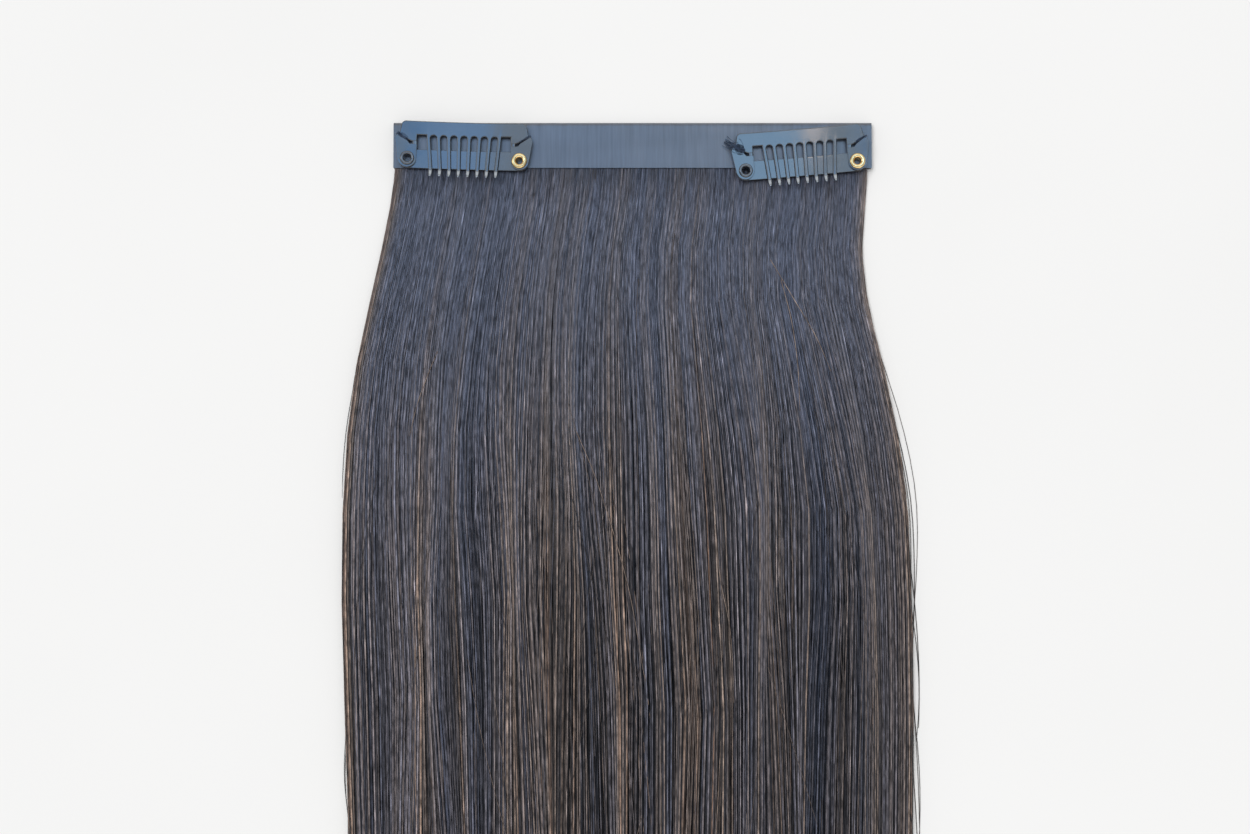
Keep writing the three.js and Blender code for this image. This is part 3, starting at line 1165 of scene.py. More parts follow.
@dataclass
class HairCurtain:
    """The curtain of hair: a dark packed core, and layers of clumps of single hairs over it, each deeper
    layer darker as painted shade.
    """

    form: CurtainForm
    root_heights: Span
    flow: HairFlow = HairFlow()
    toning: Toning = Toning()
    seed: int = 41
    piece_count: int = 5
    layer_count: int = 5
    clumps_in_layer: int = 400
    hairs_in_clump: int = 5
    hair_sides: int = 3
    map_rows: int = 8
    stations: tuple[float, ...] = (
        3.5, -5.0, -9.0, -16.0, -27.0, -41.0, -57.0, -75.0,
        -95.0, -118.0, -145.0, -180.0, -235.0, -302.0, -349.0,
    )
    layer_step: float = 0.3
    layer_unevenness: float = 0.07
    # Painted shade: each layer down is darker by this much.
    layer_shade: float = 0.6
    clump_place: Span = (0.3, 0.7)
    # Rhythm of lighter raised clumps and darker dipped ones: the hairs' own tones, with painted shade on the
    # dipped ones.
    clump_rhythm: tuple[float, ...] = (1.0, -1.0, 0.1)
    rhythm_strength: Span = (0.5, 1.25)
    rhythm_lightness: float = 1.35
    rhythm_dip: float = 0.16
    clump_reach: float = 0.11
    reach_spread: Span = (0.6, 1.15)
    clump_crown: float = 0.1
    hair_jitter: float = 0.15
    hair_radius: float = 0.1
    radius_spread: Span = (0.75, 1.35)
    taper: Taper = Taper(0.86, 0.65)
    short_share: float = 0.1
    short_span: Span = (0.03, 0.35)
    clump_shortness: float = 0.03
    hair_shortness: float = 0.014
    tip_gather: float = 0.12
    tip_gather_span: Span = (296.0, 352.0)
    edge_share: float = 0.0008
    thinnest: float = 0.2
    floor_clearance: float = 1.1
    band_exit: Span = (5.4, 15.0)
    core_columns: int = 150
    core_rows: int = 60
    core_inset: float = 0.006
    core_cover: float = 1.05
    core_thinnest: float = 0.3
    core_lowest: float = 0.12
    core_underside: float = 0.02
    core_end: float = -322.0

    def build(self, strand: bpy.types.Material, core: bpy.types.Material) -> None:
        """Makes the core and the single hairs and rides them on the weft.

        Args:
            strand: Finish of the single hairs.
            core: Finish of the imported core.
        """
        piece = add_piece("hair_core", self._core_mesh(), core)
        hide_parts("hair")
        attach(piece, "weft")
        hairs = self._strands()
        count = len(hairs.radii)
        for number in range(self.piece_count):
            begin, end = (count * (number + step) // self.piece_count for step in (0, 1))
            name = f"hair_strands_{number + 1}"
            mesh = hairs.part(slice(begin, end)).mesh(name, self.hair_sides, self.map_rows)
            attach(add_piece(name, mesh, strand), "weft")

    def _core_mesh(self) -> bpy.types.Mesh:
        """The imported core: a closed sheet that follows the form from inside, flat underneath.

        Returns:
            The mesh, in metres.
        """
        shape = bmesh.new()
        bmesh.ops.create_grid(shape, x_segments=self.core_columns, y_segments=self.core_rows, size=1.0)
        grid = np.array([vert.co for vert in shape.verts])
        first = self.form.sections[0].y
        along = (1.0 - grid[:, 1]) / 2
        y = first + (self.core_end - first) * along
        left, right, depth = self.form.outline(y)
        share = self.core_inset + (1.0 - 2 * self.core_inset) * (grid[:, 0] + 1.0) / 2
        cover = self.core_cover * self.form.thinning(depth, self.core_thinnest)
        z = np.maximum(self.form.height(share, depth) - cover, self.core_lowest)
        x = left + (right - left) * share
        for vert, point in zip(shape.verts, np.stack([x, y, z], axis=1)):
            vert.co = point
        for vert in doubled(shape):
            vert.co.z = self.core_underside
        return finished_mesh("hair_core", shape, TO_METRES)

    def _strands(self) -> Strands:
        """All single hairs of the curtain, from left to right.

        Returns:
            Their paths, radii and tones, with the hairs of a clump as kin.
        """
        rng = np.random.default_rng(self.seed)
        clumps = self.layer_count * self.clumps_in_layer
        layer, cell = np.divmod(np.arange(clumps), self.clumps_in_layer)
        place = (cell + rng.uniform(*self.clump_place, clumps)) / self.clumps_in_layer
        rhythm = np.array(self.clump_rhythm)
        raised = rhythm[(cell + layer) % len(rhythm)] * rng.uniform(*self.rhythm_strength, clumps)
        order = np.argsort(place)
        place, layer, raised = place[order], layer[order], raised[order]
        clump = np.repeat(np.arange(clumps), self.hairs_in_clump)
        count = len(clump)
        y, along = self._places_along(rng, place, clump)
        aside = np.tile(np.linspace(-1.0, 1.0, self.hairs_in_clump), clumps)
        aside += rng.normal(0.0, self.hair_jitter, count)
        offset = aside * self.clump_reach * rng.uniform(*self.reach_spread, clumps)[clump]
        course = place[:, None] + self.flow.shift(rng, place, layer, along)
        share = self._places_across(course[clump], offset, y)
        radius = self.hair_radius * rng.uniform(*self.radius_spread, count)
        sunk = self.layer_step * layer + np.abs(rng.normal(0.0, self.layer_unevenness, clumps))
        sunk += self.rhythm_dip * (1.0 - np.clip(raised, -1.0, 1.0)) / 2
        paths = self._lay(rng, share, y, sunk[clump] + self.clump_crown * aside**2, radius)
        # Each clump's lightness: its place in the rhythm, less painted shade for its layer.
        own = self.rhythm_lightness * raised - self.layer_shade * layer
        tones = self.toning.colours(rng, clump, place, own, share, y)
        return Strands(paths, radius[:, None] * self.taper.at(along), tones, clump)

    def _places_along(
        self, rng: np.random.Generator, place: np.ndarray, clump: np.ndarray
    ) -> tuple[np.ndarray, np.ndarray]:
        """Where the stations of each hair lie along the curtain, with uneven tips.

        Args:
            rng: Source of the hairs' lengths.
            place: Each clump's place across the curtain.
            clump: The clump that each hair belongs to.

        Returns:
            The places by hair and station, and the stations' shares of a hair's length.
        """
        count = len(clump)
        is_short = rng.uniform(size=count) < self.short_share
        short = np.where(is_short, rng.uniform(*self.short_span, count), 0.0)
        _, shorter = self.form.nearest_lock(place)
        uneven = rng.uniform(0.0, self.clump_shortness, len(place))[clump]
        uneven += np.abs(rng.normal(0.0, self.hair_shortness, count))
        length = (1.0 - short) * (1.0 - uneven)
        root, tip = self.stations[0], self.stations[-1]
        tip_y = root + (tip + shorter[clump] - root) * length
        along = (np.array(self.stations) - root) / (tip - root)
        return root + (tip_y - root)[:, None] * along, along

    def _places_across(self, course: np.ndarray, offset: np.ndarray, y: np.ndarray) -> np.ndarray:
        """Where hairs lie across the curtain, drawn a little to the middles of their locks at the tips.

        Args:
            course: Places of each hair's clump, as shares of the width, by hair and station.
            offset: How far each hair lies beside its clump's middle.
            y: Places along the curtain.

        Returns:
            Shares of the width by hair and station.
        """
        left, right, _ = self.form.outline(y)
        share = course + offset[:, None] / (right - left)
        lock, _ = self.form.nearest_lock(np.clip(share, 0.0, 1.0))
        share += (lock - share) * self.tip_gather * smoothstep(-y, *self.tip_gather_span)
        return np.clip(share, self.edge_share, 1.0 - self.edge_share)

    def _lay(
        self, rng: np.random.Generator, share: np.ndarray, y: np.ndarray, sunk: np.ndarray, radius: np.ndarray
    ) -> np.ndarray:
        """Lays hairs in the curtain's form, and their roots in the band's slot.

        Args:
            rng: Source of the roots' heights.
            share: Places across the curtain by hair and station.
            y: Places along it.
            sunk: How far each hair lies under the curtain's top.
            radius: Each hair's radius.

        Returns:
            The hairs' paths.
        """
        left, right, depth = self.form.outline(y)
        under = sunk[:, None] * self.form.thinning(depth, self.thinnest)
        low = radius[:, None] * self.floor_clearance
        lying = np.maximum(self.form.height(share, depth) - under, low)
        rooted = rng.uniform(*self.root_heights, len(sunk))[:, None]
        out = smoothstep(-y, *self.band_exit)
        return np.stack([left + (right - left) * share, y, rooted + (lying - rooted) * out], axis=2)


@dataclass
class LooseHairs:
    """Stray hairs: some beside both edges, more over the curtain, and a few that plainly cross it."""

    form: CurtainForm
    tones: HairTones = HairTones()
    seed: int = 42
    beside_right: int = 30
    beside_left: int = 12
    lying_over: int = 60
    station_count: int = 15
    hair_sides: int = 3
    map_rows: int = 4
    lowest_y: float = -345.0
    beside_begin: Span = (-290.0, -40.0)
    beside_run: Span = (25.0, 120.0)
    beside_inset: float = 0.8
    beside_reach: Span = (0.7, 3.2)
    left_reach: float = 0.55
    beside_lift: float = 0.02
    beside_rise: float = 0.15
    beside_lightness: float = 0.0
    over_begin: Span = (-230.0, -14.0)
    over_run: Span = (35.0, 110.0)
    over_share: Span = (0.04, 0.96)
    over_lean: float = 5.0
    over_sway: float = 0.8
    over_lift: float = 0.12
    over_lightness: float = 0.9
    lightness_spread: float = 0.6
    bow_length: Span = (0.6, 1.15)
    radius: Span = (0.06, 0.085)
    right_thickness: float = 1.5
    floor_clearance: float = 1.2
    taper: Taper = Taper(0.8, 0.5)
    crossings: tuple[tuple[tuple[float, float], ...], ...] = (
        ((-13.9, -72.0), (-8.1, -86.5), (-1.1, -110.5), (3.1, -134.0)),
        ((34.4, -29.0), (40.0, -38.5), (45.5, -48.0), (49.4, -57.0)),
        ((37.0, -34.0), (39.5, -44.0), (41.0, -55.0), (41.5, -67.0)),
        ((-48.5, -52.0), (-51.2, -58.5), (-53.6, -65.5), (-55.4, -73.0)),
        ((20.5, -95.0), (21.6, -108.0), (24.2, -122.0), (25.0, -139.0)),
    )
    crossing_lift: float = 0.16
    crossing_radius: float = 0.1
    crossing_taper: Taper = Taper(0.7, 0.4)
    crossing_lightness: float = 2.9

    def build(self, material: bpy.types.Material) -> None:
        """Makes the stray hairs and rides them on the weft.

        Args:
            material: Their finish.
        """
        strays = self._strays().joined(self._crossing())
        mesh = strays.mesh("stray_hairs", self.hair_sides, self.map_rows)
        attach(add_piece("stray_hairs", mesh, material), "weft")

    def _strays(self) -> Strands:
        """The hairs beside both edges and over the curtain.

        Returns:
            Their paths, radii and tones.
        """
        rng = np.random.default_rng(self.seed)
        side = np.repeat((1.0, -1.0, 0.0), (self.beside_right, self.beside_left, self.lying_over))[:, None]
        over, column = side == 0, side.shape
        begin = np.where(over, rng.uniform(*self.over_begin, column), rng.uniform(*self.beside_begin, column))
        run = np.where(over, rng.uniform(*self.over_run, column), rng.uniform(*self.beside_run, column))
        along = np.linspace(0.0, 1.0, self.station_count)
        y = begin - np.minimum(run, begin - self.lowest_y) * along
        left, right, depth = self.form.outline(y)
        reach = rng.uniform(*self.beside_reach, column) * np.where(side < 0, self.left_reach, 1.0)
        bow = np.sin(math.pi * np.clip(along * rng.uniform(*self.bow_length, column), 0.0, 1.0))
        edge = np.where(side > 0, right - self.beside_inset, left + self.beside_inset)
        lean = rng.normal(0.0, self.over_lean, column) * along
        lean += rng.normal(0.0, self.over_sway, column) * bow
        lying = left + (right - left) * rng.uniform(*self.over_share, column) + lean
        x = np.where(over, lying, edge + side * reach * bow)
        share = np.clip((x - left) / (right - left), 0.0, 1.0)
        radius = rng.uniform(*self.radius, column) * np.where(side > 0, self.right_thickness, 1.0)
        top = self.form.height(share, depth) + np.where(over, self.over_lift, self.beside_lift)
        risen = radius * self.floor_clearance + np.where(over, 0.0, self.beside_rise * bow)
        paths = np.stack([x, y, np.maximum(top, risen)], axis=2)
        lightness = np.where(over, self.over_lightness, self.beside_lightness)
        lightness = lightness + rng.normal(0.0, self.lightness_spread, column)
        tones = self.tones.at(np.broadcast_to(lightness, y.shape))
        return Strands(paths, radius * self.taper.at(along), tones, np.arange(len(side)))

    def _crossing(self) -> Strands:
        """The few that plainly cross the others, each on a route of its own.

        Returns:
            Their paths, radii and tones.
        """
        along = np.linspace(0.0, 1.0, self.station_count)
        routes = np.array(self.crossings)
        known = np.linspace(0.0, 1.0, routes.shape[1])
        x, y = (
            np.stack([smooth_through(along, known, route[:, axis]) for route in routes]) for axis in (0, 1)
        )
        left, right, depth = self.form.outline(y)
        z = self.form.height((x - left) / (right - left), depth) + self.crossing_lift
        radii = np.full(x.shape, self.crossing_radius) * self.crossing_taper.at(along)
        tones = self.tones.at(np.full(x.shape, self.crossing_lightness))
        return Strands(np.stack([x, y, z], axis=2), radii, tones, np.arange(len(routes)))


# The band


class Ripple(NamedTuple):
    """A wave in the film: its share of the height, and its turn in a millimetre along and across the band."""

    share: float
    along: float
    across: float


@dataclass
class FilmBand:
    """The folded film that seals the roots: a U in section, open towards the hair."""

    low: Vector
    high: Vector
    film: float = 0.4
    root_margin: float = 0.12
    fold_steps: int = 10
    flat_steps: int = 6
    length_steps: int = 96
    ripple_height: float = 0.05
    ripples: tuple[Ripple, ...] = (Ripple(1.0, 0.31, 0.0), Ripple(0.6, 0.83, 0.4))

    def slot_heights(self) -> Span:
        """Lowest and highest middle of a root in the slot."""
        margin = self.film + self.root_margin
        return self.low.z + margin, self.high.z - margin

    def build(self, material: bpy.types.Material) -> None:
        """Makes the film and rides it on the weft.

        Args:
            material: Its finish.
        """
        shape = bmesh.new()
        outer = (self.high.z - self.low.z) / 2
        fold_y = self.high.y - outer
        middle_z = (self.high.z + self.low.z) / 2
        reach = [(fold_y - self.low.y) * i / self.flat_steps for i in range(self.flat_steps)]
        profile = []
        for radius in (outer, outer - self.film):
            under = [Vector((self.low.y + step, middle_z - radius, 0.0)) for step in reach]
            over = [Vector((point.x, middle_z + radius, 0.0)) for point in reversed(under)]
            wall = [*under, *arc((fold_y, middle_z), radius, -90.0, 90.0, self.fold_steps), *over]
            profile += wall if radius == outer else reversed(wall)
        edges = add_loop(shape, [Vector((self.low.x, point.x, point.y)) for point in profile])
        section = bmesh.ops.contextual_create(shape, geom=edges)["faces"]
        step = (self.high.x - self.low.x) / self.length_steps
        bmesh.ops.spin(
            shape,
            geom=section,
            cent=(0.0, 0.0, 0.0),
            axis=(1.0, 0.0, 0.0),
            dvec=(step, 0.0, 0.0),
            angle=0.0,
            steps=self.length_steps,
        )
        crest = sum(ripple.share for ripple in self.ripples)
        for vert in shape.verts:
            x, y, z = vert.co
            if z > middle_z:
                wave = sum(share * math.sin(x * along + y * across) for share, along, across in self.ripples)
                vert.co.z -= self.ripple_height * (1.0 + wave / crest) / 2 * (z - middle_z) / outer
        mesh = finished_mesh("film_band", shape, TO_METRES)
        piece = add_piece("film_band", mesh, material)
        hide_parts("weft_band")
        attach(piece, "weft")


# The clips


class Eyelet(NamedTuple):
    """A turned eyelet: its flange, how far that stands up, its bore, and how much of its crest is bare steel
    as a painted highlight.
    """

    flange: float
    rise: float
    bore: float
    crest_highlight: float


EYELETS = {
    ClipEnd.BRASS: Eyelet(flange=1.95, rise=0.55, bore=0.85, crest_highlight=0.0),
    # The black eyelet's crest is partly bare steel as a painted highlight ring.
    ClipEnd.BLACK: Eyelet(flange=1.75, rise=0.4, bore=0.95, crest_highlight=0.15),
}


@dataclass
class SnapClip:
    """A snap clip: a comb that swings up, and the strap, lobes and eyelets that it closes on."""

    side: ClipSide
    place: Matrix
    sheet: float = 0.6
    strap: float = 0.5
    sheet_gap: float = 0.15
    strap_z: float = 2.1
    arch: float = 0.9
    half_width: float = 17.2
    rivet_x: float = 14.1
    bar_top: float = 9.4
    bar_bottom: float = 5.9
    bar_half_top: float = 15.7
    bar_half_bottom: float = 16.2
    bar_corner: float = 1.2
    tooth_count: int = 8
    tooth_width: float = 0.95
    tooth_root_pitch: float = 2.54
    tooth_tip_pitch: float = 2.34
    tooth_tip_v: float = -4.5
    tooth_taper: float = 0.95
    tip_rounding: float = 0.8
    curl_start_v: float = -2.4
    curl_rise: float = 1.1
    curl_steps: int = 7
    wear_span: Span = (0.1, 0.8)
    neck_v: float = 3.9
    neck_gap: float = 0.6
    neck_lap: float = 0.5
    neck_play: float = 0.04
    neck_thinning: float = 0.1
    neck_rounding: float = 0.12
    neck_rounding_steps: int = 2
    neck_columns: int = 2
    neck_rows: int = 8
    neck_bend: float = 0.4
    window_x: float = 11.7
    slit: float = 0.55
    slit_lip: float = 0.46
    notch_x: float = 13.5
    notch_v: float = 4.25
    notch_radius: float = 0.65
    lobe_radius: float = 2.3
    lobe_shoulder_v: float = 5.0
    lobe_arc_start: float = 11.0
    strap_half_height: float = 2.35
    rivet_hole: float = 1.4
    edge_rounding: float = 0.25
    rounding_limit: float = 0.42
    rounding_steps: int = 4
    strip: float = 1.1
    hole_steps: int = 32
    tip_steps: int = 6
    slot_steps: int = 8
    corner_steps: int = 6
    lobe_steps: int = 20
    strap_end_steps: int = 16
    eyelet_barrel: float = 1.25
    eyelet_foot: float = 1.75
    eyelet_foot_height: float = 0.3
    eyelet_chamfer: float = 0.1
    eyelet_lip: Span = (0.08, 0.05)
    eyelet_play: float = 0.1
    eyelet_steps: int = 48
    eyelet_roll_steps: int = 14
    eyelet_funnel: float = 0.25

    @property
    def sheet_z(self) -> float:
        """Height of the stamped sheet's underside at the clip's middle."""
        return self.strap_z + self.strap + self.sheet_gap

    @property
    def comb(self) -> str:
        """Body of the comb."""
        return f"{self.side.value}_comb"

    @property
    def base(self) -> str:
        """Body of the strap, lobes and eyelets."""
        return f"{self.side.value}_base"

    def build(
        self, enamel: bpy.types.Material, brass: bpy.types.Material, thread: bpy.types.Material
    ) -> None:
        """Makes all pieces of the clip.

        Args:
            enamel: Finish of the stamped sheet and the black eyelet.
            brass: Finish of the brass eyelet.
            thread: Finish of the stitches.
        """
        name = self.side.value
        self._stamp(f"{name}_comb_sheet", self._comb_outline(), None, enamel, self.comb, f"{name}_comb")
        self._build_strap(enamel)
        for end in ClipEnd:
            outward = "outer" if (end is ClipEnd.BRASS) == (self.side is ClipSide.RIGHT) else "inner"
            node = f"{name}_lobe_{outward}"
            self._stamp(f"{node}_sheet", self._lobe_outline(end.value), end.value, enamel, self.base, node)
            self._build_neck(end, enamel)
            Stitch(self, end, STITCHES[self.side, end]).build(thread)
        self._build_eyelet(ClipEnd.BRASS, brass)
        self._build_eyelet(ClipEnd.BLACK, enamel)

    def arch_at(self, u: float) -> float:
        """Height that the clip gains from its middle to a place along it."""
        return self.arch * (u / self.half_width) ** 2

    def _curl_at(self, v: float) -> float:
        """Height that a tooth gains in its upturned tip."""
        share = max(0.0, (self.curl_start_v - v) / (self.curl_start_v - self.tooth_tip_v))
        return self.curl_rise * share**2

    def _tooth_outline(self, tip_x: float) -> list[Vector]:
        """One tooth, down its left side, round its tip and up its right side.

        Args:
            tip_x: Middle of the tooth from where it curls.

        Returns:
            Points of the outline.
        """
        half = self.tooth_width / 2
        rounding, narrowed = half * self.tip_rounding, half * self.tooth_taper
        taper_v = self.tooth_tip_v + self.tooth_width
        return [
            Vector((tip_x - half, self.curl_start_v, 0.0)),
            Vector((tip_x - narrowed, taper_v, 0.0)),
            *arc((tip_x, self.tooth_tip_v + rounding), rounding, 180.0, 360.0, self.tip_steps),
            Vector((tip_x + narrowed, taper_v, 0.0)),
            Vector((tip_x + half, self.curl_start_v, 0.0)),
        ]

    def _comb_outline(self) -> list[Vector]:
        """The bar, its teeth with round slots between them, and a stub at each neck.

        Returns:
            Points of the outline.
        """
        middle = (self.tooth_count - 1) / 2
        slot_radius = (self.tooth_root_pitch - self.tooth_width) / 2
        outer_root = middle * self.tooth_root_pitch + self.tooth_width / 2
        points = [Vector((-outer_root, self.bar_bottom, 0.0))]
        for i in range(self.tooth_count):
            number = i - middle
            points += self._tooth_outline(number * self.tooth_tip_pitch)
            if i + 1 < self.tooth_count:
                slot = ((number + 0.5) * self.tooth_root_pitch, self.bar_bottom - slot_radius)
                points += arc(slot, slot_radius, 180.0, 0.0, self.slot_steps)
        points.append(Vector((outer_root, self.bar_bottom, 0.0)))
        neck_top = self.neck_v + self.neck_gap / 2
        corner = (self.bar_half_top - self.bar_corner, self.bar_top - self.bar_corner)
        right = [
            Vector((self.window_x, self.bar_bottom, 0.0)),
            Vector((self.window_x, neck_top, 0.0)),
            Vector((self.notch_x - self.notch_radius, neck_top, 0.0)),
            Vector((self.notch_x, self.notch_v + self.notch_radius - self.slit_lip, 0.0)),
            Vector((self.bar_half_bottom, self.bar_bottom + self.slit - self.slit_lip, 0.0)),
            *arc(corner, self.bar_corner, 0.0, 90.0, self.corner_steps),
        ]
        left = [Vector((-point.x, point.y, 0.0)) for point in reversed(right)]
        return [*points, *right, *left]

    def _lobe_outline(self, sign: int) -> list[Vector]:
        """An end lobe, from the neck round the rivet to the slit.

        Args:
            sign: Side of the clip that it is on.

        Returns:
            Points of the outline.
        """
        neck_bottom = self.neck_v - self.neck_gap / 2
        inner, outer = self.notch_x - self.notch_radius, self.notch_x + self.notch_radius
        start = self.lobe_arc_start
        points = [
            Vector((self.window_x, neck_bottom, 0.0)),
            Vector((inner, neck_bottom, 0.0)),
            Vector((self.notch_x, self.notch_v - self.notch_radius, 0.0)),
            Vector((outer, self.notch_v - self.notch_radius / 2 + self.slit_lip, 0.0)),
            Vector((self.half_width - self.slit, self.lobe_shoulder_v + self.slit + self.slit_lip, 0.0)),
            Vector((self.half_width, self.lobe_shoulder_v, 0.0)),
            *arc((self.rivet_x, 0.0), self.lobe_radius, -start, start - 180.0, self.lobe_steps),
        ]
        return [Vector((sign * point.x, point.y, 0.0)) for point in points]

    def _stamp(
        self,
        name: str,
        outline: list[Vector],
        hole_sign: int | None,
        material: bpy.types.Material,
        body: str,
        node: str,
    ) -> None:
        """Stamps one piece out of the arched sheet.

        Args:
            name: The piece's name.
            outline: Its outline.
            hole_sign: Side of its rivet hole, if it has one.
            material: Its finish.
            body: The body that it rides on.
            node: The solid that it stands for.
        """
        shape = bmesh.new()
        edges = add_loop(shape, outline)
        if hole_sign is None:
            bmesh.ops.contextual_create(shape, geom=edges)
        else:
            self._add_hole(shape, hole_sign)
            bmesh.ops.bridge_loops(shape, edges=list(shape.edges))
        self._form_sheet(shape, self.sheet, self.sheet_z)
        self._place_piece(name, shape, material, body, node)

    def _add_hole(self, shape: bmesh.types.BMesh, sign: int) -> None:
        """Adds the circle of a rivet hole."""
        centre = Matrix.Translation((sign * self.rivet_x, 0.0, 0.0))
        bmesh.ops.create_circle(shape, segments=self.hole_steps, radius=self.rivet_hole, matrix=centre)

    def _form_sheet(self, shape: bmesh.types.BMesh, thickness: float, z: float) -> None:
        """Gives a flat outline its thickness, round edges, arch and curled tips.

        Args:
            shape: The flat outline.
            thickness: The sheet's thickness.
            z: Height of its underside at the clip's middle.
        """
        rounding = min(self.edge_rounding, thickness * self.rounding_limit)
        thicken_and_round(shape, thickness, rounding, self.rounding_steps)
        strips = round(2 * self.half_width / self.strip)
        across = [self.half_width * (2 * i / strips - 1) for i in range(1, strips)]
        cut_across(shape, across, Vector((1.0, 0.0, 0.0)))
        curl = self.curl_start_v - self.tooth_tip_v
        down = [self.curl_start_v - curl * i / self.curl_steps for i in range(self.curl_steps)]
        cut_across(shape, down, Vector((0.0, 1.0, 0.0)))
        bare = shape.verts.layers.float.new(WEAR_AND_HIGHLIGHT_ATTRIBUTE)
        for vert in shape.verts:
            u, v, _ = vert.co
            vert[bare] = float(smoothstep(np.array(self.curl_start_v - v), *self.wear_span))
            vert.co.z += z + self.arch_at(u) + self._curl_at(v)

    def _place_piece(
        self, name: str, shape: bmesh.types.BMesh, material: bpy.types.Material, body: str, node: str
    ) -> None:
        """Moves a piece of the clip to its place and rides it on its body.

        Args:
            name: The piece's name.
            shape: Its shape in the clip's own frame.
            material: Its finish.
            body: The body that it rides on.
            node: The solid that it stands for.
        """
        piece = add_piece(name, finished_mesh(name, shape, self.place), material)
        piece.modifiers.new("even_shading", "WEIGHTED_NORMAL").keep_sharp = True
        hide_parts(node)
        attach(piece, body)

    def _build_strap(self, material: bpy.types.Material) -> None:
        """Makes the strip with round ends that the teeth close on.

        Args:
            material: Its finish.
        """
        shape = bmesh.new()
        height = self.strap_half_height
        end = arc((self.rivet_x, 0.0), height, -90.0, 90.0, self.strap_end_steps)
        add_loop(shape, [Vector((0.0, -height, 0.0)), *end, Vector((0.0, height, 0.0))])
        self._add_hole(shape, 1)
        bmesh.ops.bridge_loops(shape, edges=list(shape.edges))
        geometry = [*shape.verts, *shape.edges, *shape.faces]
        bmesh.ops.mirror(shape, geom=geometry, axis="X", merge_dist=WELD)
        bmesh.ops.recalc_face_normals(shape, faces=shape.faces)
        self._form_sheet(shape, self.strap, self.strap_z)
        name = f"{self.side.value}_strap"
        self._place_piece(f"{name}_sheet", shape, material, self.base, name)

    def _build_neck(self, end: ClipEnd, material: bpy.types.Material) -> None:
        """Makes the narrow neck where the sheet flexes, between the comb's stub and a lobe.

        Args:
            end: End of the clip that it is at.
            material: Its finish.
        """
        shape = bmesh.new()
        half = 0.5
        bmesh.ops.create_grid(shape, x_segments=self.neck_columns, y_segments=self.neck_rows, size=half)
        inner = self.window_x + self.neck_play
        outer = self.notch_x - self.notch_radius - self.neck_play
        reach = self.neck_gap + self.neck_lap
        for vert in shape.verts:
            u = inner + (outer - inner) * (vert.co.x + half)
            vert.co = (end.value * u, self.neck_v + reach * vert.co.y, 0.0)
        bmesh.ops.recalc_face_normals(shape, faces=shape.faces)
        thickness = self.sheet - self.neck_thinning
        thicken_and_round(shape, thickness, self.neck_rounding, self.neck_rounding_steps)
        for vert in shape.verts:
            vert.co.z += self.sheet_z + self.neck_thinning / 2 + self.arch_at(vert.co.x)
        name = f"{self.side.value}_neck_{end.name.lower()}"
        piece = add_piece(name, finished_mesh(name, shape, self.place), material)
        middle, bend = end.value * (inner + outer) / 2, reach * self.neck_bend
        points = [self.place @ Vector((middle, self.neck_v + v, self.sheet_z)) for v in (bend, -bend)]
        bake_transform(piece)

    def _build_eyelet(self, end: ClipEnd, material: bpy.types.Material) -> None:
        """Turns an eyelet: a rolled flange over the lobe, a barrel, and a foot under the strap.

        Args:
            end: End of the clip that it is at.
            material: Its finish.
        """
        size = EYELETS[end]
        flange_z = self.strap + self.sheet_gap + self.sheet + self.eyelet_play
        foot_top = -self.eyelet_play
        foot_z = foot_top - self.eyelet_foot_height
        ring = (size.flange - size.bore) / 2
        roll = [
            (size.bore + ring + p.x, flange_z + p.y * size.rise / ring)
            for p in arc((0.0, 0.0), ring, 0.0, 180.0, self.eyelet_roll_steps)
        ]
        lip_in, lip_down = self.eyelet_lip
        profile = [
            (size.bore - self.eyelet_funnel, foot_z),
            (self.eyelet_foot - self.eyelet_chamfer, foot_z),
            (self.eyelet_foot, foot_z + self.eyelet_chamfer),
            (self.eyelet_foot, foot_top),
            (self.eyelet_barrel, foot_top),
            (self.eyelet_barrel, flange_z),
            (size.flange - lip_in, flange_z - lip_down),
            *roll,
        ]
        shape = bmesh.new()
        edges = add_loop(shape, [Vector((r, 0.0, z)) for r, z in profile])
        bmesh.ops.spin(
            shape,
            geom=[*shape.verts, *edges],
            cent=(0.0, 0.0, 0.0),
            axis=(0.0, 0.0, 1.0),
            angle=FULL_TURN,
            steps=self.eyelet_steps,
            use_merge=True,
        )
        bmesh.ops.remove_doubles(shape, verts=shape.verts, dist=WELD)
        bare = shape.verts.layers.float.new(WEAR_AND_HIGHLIGHT_ATTRIBUTE)
        for vert in shape.verts:
            # Painted highlight: bare steel over the crest, growing towards its top.
            vert[bare] = size.crest_highlight * max(0.0, (vert.co.z - flange_z) / size.rise) ** 2
        u = end.value * self.rivet_x
        slope = math.atan(2 * self.arch * u / self.half_width**2)
        foot = Matrix.Translation((u, 0.0, self.strap_z + self.arch_at(u)))
        stand = foot @ Matrix.Rotation(-slope, 4, "Y")
        node = f"{self.side.value}_eyelet_{end.name.lower()}"
        mesh = finished_mesh(f"{node}_turned", shape, self.place @ stand)
        piece = add_piece(f"{node}_turned", mesh, material)
        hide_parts(node)
        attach(piece, self.base)


class Wad(NamedTuple):
    """Thread at one end of a clip: how much of it there is, and how far out on the band it starts."""

    threads: int
    bulk: float
    fray: float
    reach: float
    reach_v: float


STITCHES = {
    (ClipSide.LEFT, ClipEnd.BLACK): Wad(22, 0.5, 0.5, 16.6, 6.3),
    (ClipSide.LEFT, ClipEnd.BRASS): Wad(3, 0.2, 0.3, 16.6, 6.3),
    (ClipSide.RIGHT, ClipEnd.BLACK): Wad(60, 1.0, 1.0, 18.8, 8.2),
    (ClipSide.RIGHT, ClipEnd.BRASS): Wad(9, 0.4, 0.6, 17.2, 6.6),
}


class SeamPoint(NamedTuple):
    """A point of a seam: its place, where the sheet's top is read, and its height over that."""

    u: float
    v: float
    top_u: float
    lift: float


